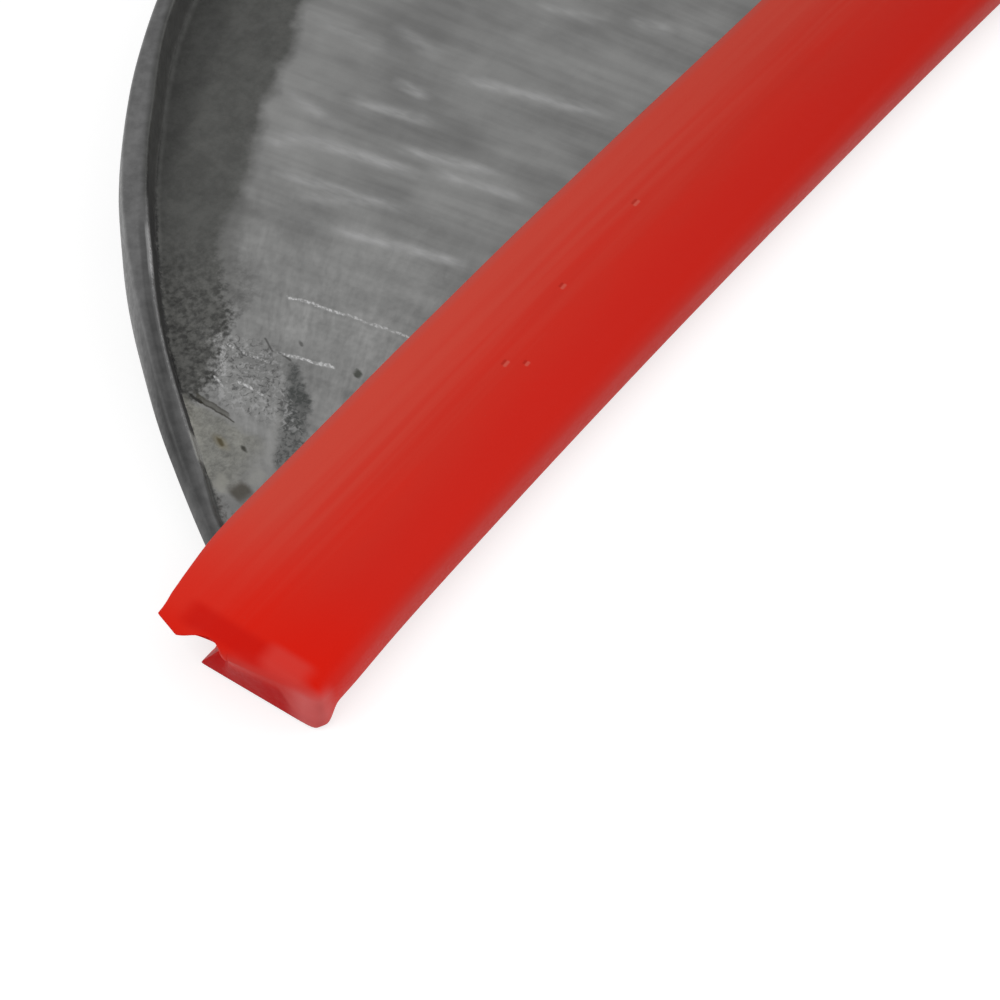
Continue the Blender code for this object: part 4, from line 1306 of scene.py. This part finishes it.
# %% Set each point along, across and above the path
curve = field("GeometryNodeObjectInfo", {"Object": path}, "Geometry", transform_space="RELATIVE")
new_s = s + lump * 0.35 + sizes["Run up"]
sample = node("GeometryNodeSampleCurve", {"Curves": curve, "Length": new_s}, mode="LENGTH").outputs
across = vector_maths("CROSS_PRODUCT", (0, 0, 1), Field(sample["Tangent"]))
spot = vector_maths("ADD", Field(sample["Position"]), scaled(across, n + wave * above))
spot = vector_maths("ADD", spot, joined(0.0, 0.0, z - lump * 0.8))
bent = field("GeometryNodeSetPosition", {"Geometry": kept, "Position": spot})
close_tree(bent, red_plastic)

guard_straight = new_object("guard_straight", cage_mesh(), red_plastic)
softening = guard_straight.modifiers.new("softening", "SUBSURF")
softening.levels = softening.render_levels = 2
run_tree(guard_straight, tree, identifiers, guard_sizes)
guard = freeze(guard_straight, "red_edge_guard")
bpy.data.objects.remove(path)
face_outwards(guard.data)
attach(guard, "guard")
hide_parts("edge_guard")

# %% [markdown]
# ## Turned pieces
# The handle, the ferrule and the washer are turned, so each is one profile spun round the handle's
# axis by a Screw modifier: the profile is a chain of points at a radius and a distance down the axis,
# and a closed profile makes a ring. A smooth curve through the CAD model's own radii gives the palm
# swell. The axis falls from the ferrule until the butt rests on the bench.

# %% Spin a profile round the handle's axis
AXIS = Matrix.Translation(place(FERRULE_FRONT)) @ Matrix.Rotation(math.pi / 2 + HANDLE_FALL, 4, "X")
TURNED_SHARP_ANGLE = math.radians(32)


def spun(name, profile, material, axis=AXIS, steps=96):
    """A ring or solid of (radius, distance) points, spun, and stored with its place along its own axis."""
    mesh = bpy.data.meshes.new(name)
    edges = [(k, k + 1) for k in range(len(profile) - 1)]
    if profile[0][0] > 0:
        edges.append((len(profile) - 1, 0))
    mesh.from_pydata([(MM * r, 0, MM * d) for r, d in profile], edges, [])
    obj = new_object(name + "_profile", mesh, material)
    screw = obj.modifiers.new("spin", "SCREW")
    screw.steps = screw.render_steps = steps
    screw.use_merge_vertices = True
    screw.merge_threshold = 0.000001
    made = freeze(obj, name)
    set_attribute(made.data, "lay", [tuple(v.co / MM) for v in made.data.vertices], "FLOAT_VECTOR")
    made.data.transform(axis)
    face_outwards(made.data)
    made.data.shade_smooth()
    made.data.set_sharp_from_angle(angle=TURNED_SHARP_ANGLE)
    return made


def curved(points, per_span):
    """A smooth run of points through a profile's radii, as a Catmull-Rom curve."""
    run = []
    last = len(points) - 1
    for k in range(last):
        p0, p1, p2, p3 = (Vector(points[min(last, max(0, k + j))]) for j in (-1, 0, 1, 2))
        squared, cubed = 2 * p0 - 5 * p1 + 4 * p2 - p3, 3 * p1 - p0 - 3 * p2 + p3
        for t in (step / per_span for step in range(per_span)):
            run.append(0.5 * (2 * p1 + (p2 - p0) * t + squared * t * t + cubed * t**3))
    most = max(radius for radius, _ in points)
    return [(min(p.x, most), p.y) for p in run] + [points[-1]]


# %% [markdown]
# ## Beech
# Beech is pinkish tan, close grained, and shows short dark flecks along the grain and fine pores on
# the end. The grain runs down the handle, so the noise is stretched along the handle's own axis,
# which each point carries in its attribute. The handle was oiled, and hands have darkened the grip.

# %% Beech finish
beech, shader = new_material("beech")
lay = attribute("lay", "Vector")
x, y, z = split(lay)
drift = streaks(lay, 0.05, 0.05, 0.012)
rings = maths("SINE", (x * 0.42 + drift * 9.0) * 2.6)
fibres = streaks(lay, 3.4, 3.4, 0.10, 3.0, 0.6)
flecks = streaks(lay, 2.6, 2.6, 0.42, 1.0, 0.4)
pores = grain(lay, 5.0, 2.0, 0.6)
wood = blend(fade(rings, -1.0, 1.0), (0.58, 0.345, 0.175, 1), (0.50, 0.275, 0.130, 1))
wood = blend(fade(fibres, 0.35, 0.68, 0.0, 0.4), wood, (0.40, 0.205, 0.090, 1))
wood = blend(fade(flecks, 0.64, 0.71, 0.0, 0.75), wood, (0.23, 0.105, 0.045, 1))
grip = between(z, 30.0, 105.0, 22.0)
wood = blend(grip * fade(drift, 0.3, 0.7, 0.15, 0.55), wood, (0.33, 0.185, 0.095, 1))
end_grain = blend(fade(pores, 0.35, 0.65), (0.42, 0.235, 0.115, 1), (0.20, 0.10, 0.05, 1))
wood = blend(fade(z, HANDLE_LENGTH - 2.0, HANDLE_LENGTH - 0.2, 0.0, 0.65), wood, end_grain)
shader.inputs["Specular IOR Level"].default_value = 0.4
shader.inputs["Coat Weight"].default_value = 0.12
shader.inputs["Coat Roughness"].default_value = 0.3
rough = fade(fibres, 0.3, 0.7, 0.42, 0.56) - grip * 0.07
dress(shader, wood, rough, fibres - fade(flecks, 0.62, 0.72) * 0.7, 0.00005, 0.6)
print("nodes in the beech:", len(TREE.nodes))

# %% Handle
SPIGOT_RADIUS = 11.2
FERRULE_LENGTH = 18
# Radius at each distance before the handle's end.
SWELL = [(12.7, 112), (12.8, 105), (13.5, 96), (14.6, 84), (15.2, 72), (15.1, 62), (14.4, 50), (13.4, 38)]
SWELL += [(13.1, 30), (13.7, 23), (15.0, 17), (BUTT_RADIUS, HANDLE_LENGTH - BUTT_AT), (15.42, 8)]
SWELL += [(14.2, 3.8), (11.8, 1.2), (9.0, 0)]
GRIP = [(12.2, FERRULE_LENGTH + GAP + 0.5)] + [(radius, HANDLE_LENGTH - before) for radius, before in SWELL]
# Turned V cuts: distance from the ferrule's front, half width and depth.
CUTS = [(24.5, 0.7, 0.45), (27.2, 0.7, 0.45), (108.5, 0.7, 0.4)]


def with_cuts(run):
    """Cut the turner's V grooves into a smooth run of points."""
    marks = sorted({d + step * w for d, w, _ in CUTS for step in (-1, -0.5, 0, 0.5, 1)})
    merged = []
    for (r0, d0), (r1, d1) in zip(run, run[1:]):
        inside = [m for m in marks if d0 < m < d1]
        merged += [(r0, d0)] + [(r0 + (r1 - r0) * (m - d0) / (d1 - d0), m) for m in inside]
    cut = []
    for radius, distance in merged + [run[-1]]:
        depth = max([depth * max(0, 1 - abs(distance - d) / w) for d, w, depth in CUTS])
        cut.append((radius - depth, distance))
    return cut


# Radii of the tapered bore at its two ends, and how far the taper runs on past the wood.
BORE_FRONT = 6.2
BORE_BACK = 3.2
BORE_RUN_OUT = 5


def bore_radius(distance):
    """Radius of the tapered bore for the tang."""
    share = (distance + BORE_RUN_OUT) / (HANDLE_LENGTH + 2 * BORE_RUN_OUT)
    return BORE_FRONT + (BORE_BACK - BORE_FRONT) * share


front = [(bore_radius(0.8), 0.8), (SPIGOT_RADIUS - 0.8, 0.8), (SPIGOT_RADIUS, 1.6)]
SHOULDER_AT = FERRULE_LENGTH + GAP
shoulder = [(SPIGOT_RADIUS, SHOULDER_AT), (11.9, SHOULDER_AT), (12.1, SHOULDER_AT + 0.15)]
butt = [(bore_radius(HANDLE_LENGTH), HANDLE_LENGTH)]
handle = spun("beech_handle", front + shoulder + with_cuts(curved(GRIP, 7)) + butt, beech)
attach(handle, "sickle")
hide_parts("handle")

# %% [markdown]
# ## Ferrule, washer and nail
# The ferrule is a short steel tube with its front turned in, pressed on while hot, and a small nail
# keeps it from creeping. The washer spreads the load of the peened tang. All are cold rolled steel,
# brighter and smoother than the forging, with fine lathe lines round them and a little tarnish.

# %% Bright steel finish
bright_steel, shader = new_material("bright_steel")
lay = attribute("lay", "Vector")
x, y, z = split(lay)
radius = maths("SQRT", x * x + y * y)
lathe = grain(joined(radius * 9.0, z * 9.0), 1.0, 3.0, 0.6)
cloud = grain(lay, 0.35, 3.0, 0.6)
scratch = streaks(lay, 0.5, 7.0, 1.6, 2.0, 0.6, 1.2)
steel = grey_field(fade(lathe, 0.3, 0.7, 0.44, 0.60) + fade(scratch, 0.62, 0.75, 0.0, 0.12))
steel = blend(fade(cloud, 0.52, 0.75, 0.0, 0.55), steel, (0.30, 0.255, 0.20, 1))
shader.inputs["Metallic"].default_value = 1.0
rough = fade(lathe, 0.3, 0.7, 0.26, 0.36) + fade(cloud, 0.5, 0.75, 0.0, 0.16)
dress(shader, steel, rough, lathe + scratch * 0.4, 0.00002, 0.5)
print("nodes in the bright steel:", len(TREE.nodes))


# %% Ferrule
def from_seat(seat, rows):
    """Profile points whose distances are counted from a seat."""
    return [(radius, seat + past) for radius, past in rows]


back_end = [(11.5, -0.15), (11.65, 0), (12.6, 0), (12.74, -0.08), (12.8, -0.25), (12.8, -1.45), (12.72, -1.7)]
groove = [(12.5, -2.1), (12.5, -3.4), (12.35, -3.6), (12.35, -4.0), (12.5, -4.2)]
rim = [(12.5, 5.0), (12.5, 1.0), (12.42, 0.62), (12.22, 0.3), (11.95, 0.02), (11.6, -0.2), (11.3, -0.3)]
mouth = [(10.25, -0.3), (10.1, -0.2), (10.1, 0.4), (11.1, 0.45), (11.5, 1.0)]
ferrule = spun("steel_ferrule", from_seat(FERRULE_LENGTH, back_end + groove) + rim + mouth, bright_steel)
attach(ferrule, "sickle")
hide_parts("ferrule")

# %% Washer and nail
washer_rows = [(3.1, 0.05), (3.25, 0), (7.95, 0), (8.0, 0.1), (7.95, 0.35), (7.8, 0.7), (7.5, 0.98)]
washer_rows += [(7.1, 1.14), (6.6, 1.2), (3.25, 1.2), (3.1, 1.1)]
washer = spun("butt_plate", from_seat(HANDLE_LENGTH + GAP, washer_rows), bright_steel)
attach(washer, "sickle")
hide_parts("butt_washer")

NAIL_AT = 9
nail_rows = [(0.9, -0.05), (1.9, 0), (2.0, 0.06), (1.97, 0.2), (1.75, 0.42), (1.4, 0.62), (1.0, 0.76)]
nail_profile = [(0, 7.2), (0.9, 8.8)] + from_seat(12.5 + GAP, nail_rows + [(0.5, 0.87), (0, 0.9)])
across_axis = AXIS @ Matrix.Translation((0, 0, MM * NAIL_AT)) @ Matrix.Rotation(math.pi / 2, 4, "Y")
nail = spun("ferrule_pin", nail_profile, bright_steel, across_axis, 32)
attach(nail, "sickle")
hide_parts("ferrule_nail")

# %% [markdown]
# ## Floor and light
# The photograph stands on plain white, so the floor is a pale matt sheet. Its own colour is a light
# grey that keeps the soft shadow, and a little light of its own, seen only by camera, mirror and glass
# rays, lifts it to white without putting more light on the object. The light is plain: a pale room
# that is darker overhead, and two soft boxes. The one at the camera's right makes the pale gleam
# along the guard's round side.

# %% Floor
FLOOR_HALF = 3.0
FLOOR_DROP = 0.0002
pale_floor, shader = new_material("pale_floor")
TREE.nodes.remove(shader)
rays = node("ShaderNodeLightPath").outputs
seen = maths("MAXIMUM", Field(rays["Is Camera Ray"]), Field(rays["Is Glossy Ray"]))
seen = maths("MAXIMUM", seen, Field(rays["Is Transmission Ray"]))
matt = field("ShaderNodeBsdfDiffuse", {"Color": grey(0.50)})
lift = field("ShaderNodeEmission", {"Color": grey(1.0), "Strength": seen * 0.66})
both = field("ShaderNodeAddShader", {0: matt, 1: lift})
TREE.links.new(both.socket, TREE.nodes["Material Output"].inputs["Surface"])
floor_mesh = bpy.data.meshes.new("floor")
corners = [(x * FLOOR_HALF, y * FLOOR_HALF, -FLOOR_DROP) for x, y in ((-1, -1), (1, -1), (1, 1), (-1, 1))]
floor_mesh.from_pydata(corners, [], [(0, 1, 2, 3)])
floor = new_object("floor", floor_mesh, pale_floor)

# %% Room light and soft boxes
LIT_SPOT = (30, 5, 0)
world = bpy.data.worlds.new("room")
bpy.context.scene.world = world
world.use_nodes = True
use(world.node_tree)
sky = TREE.nodes["Background"]
up = split(field("ShaderNodeTexCoord", None, "Generated"))[2]
TREE.links.new(fade(up, 0.15, 0.85, 1.0, 0.52).socket, sky.inputs["Strength"])
sky.inputs["Color"].default_value = grey(1.0)


def soft_box(name, heading, elevation, distance, width, depth, level):
    """A rectangular lamp aimed at the guard's end, with its own brightness as seen from there."""
    lamp = bpy.data.lights.new(name, "AREA")
    lamp.shape = "RECTANGLE"
    lamp.size = width
    lamp.size_y = depth
    lamp.energy = level * math.pi * width * depth
    obj = bpy.data.objects.new(name, lamp)
    bpy.context.scene.collection.objects.link(obj)
    e = math.radians(elevation)
    out = math.cos(e) * direction(math.radians(heading)) + Vector((0, 0, math.sin(e)))
    obj.location = place(LIT_SPOT) + distance * out
    obj.rotation_euler = (-out).to_track_quat("-Z", "Y").to_euler()


soft_box("soft_box_right", -45, 28, 1.0, 0.7, 0.26, 2.8)
soft_box("soft_box_left", 150, 55, 1.2, 0.8, 0.8, 1.6)
bpy.context.scene.view_settings.view_transform = "Standard"
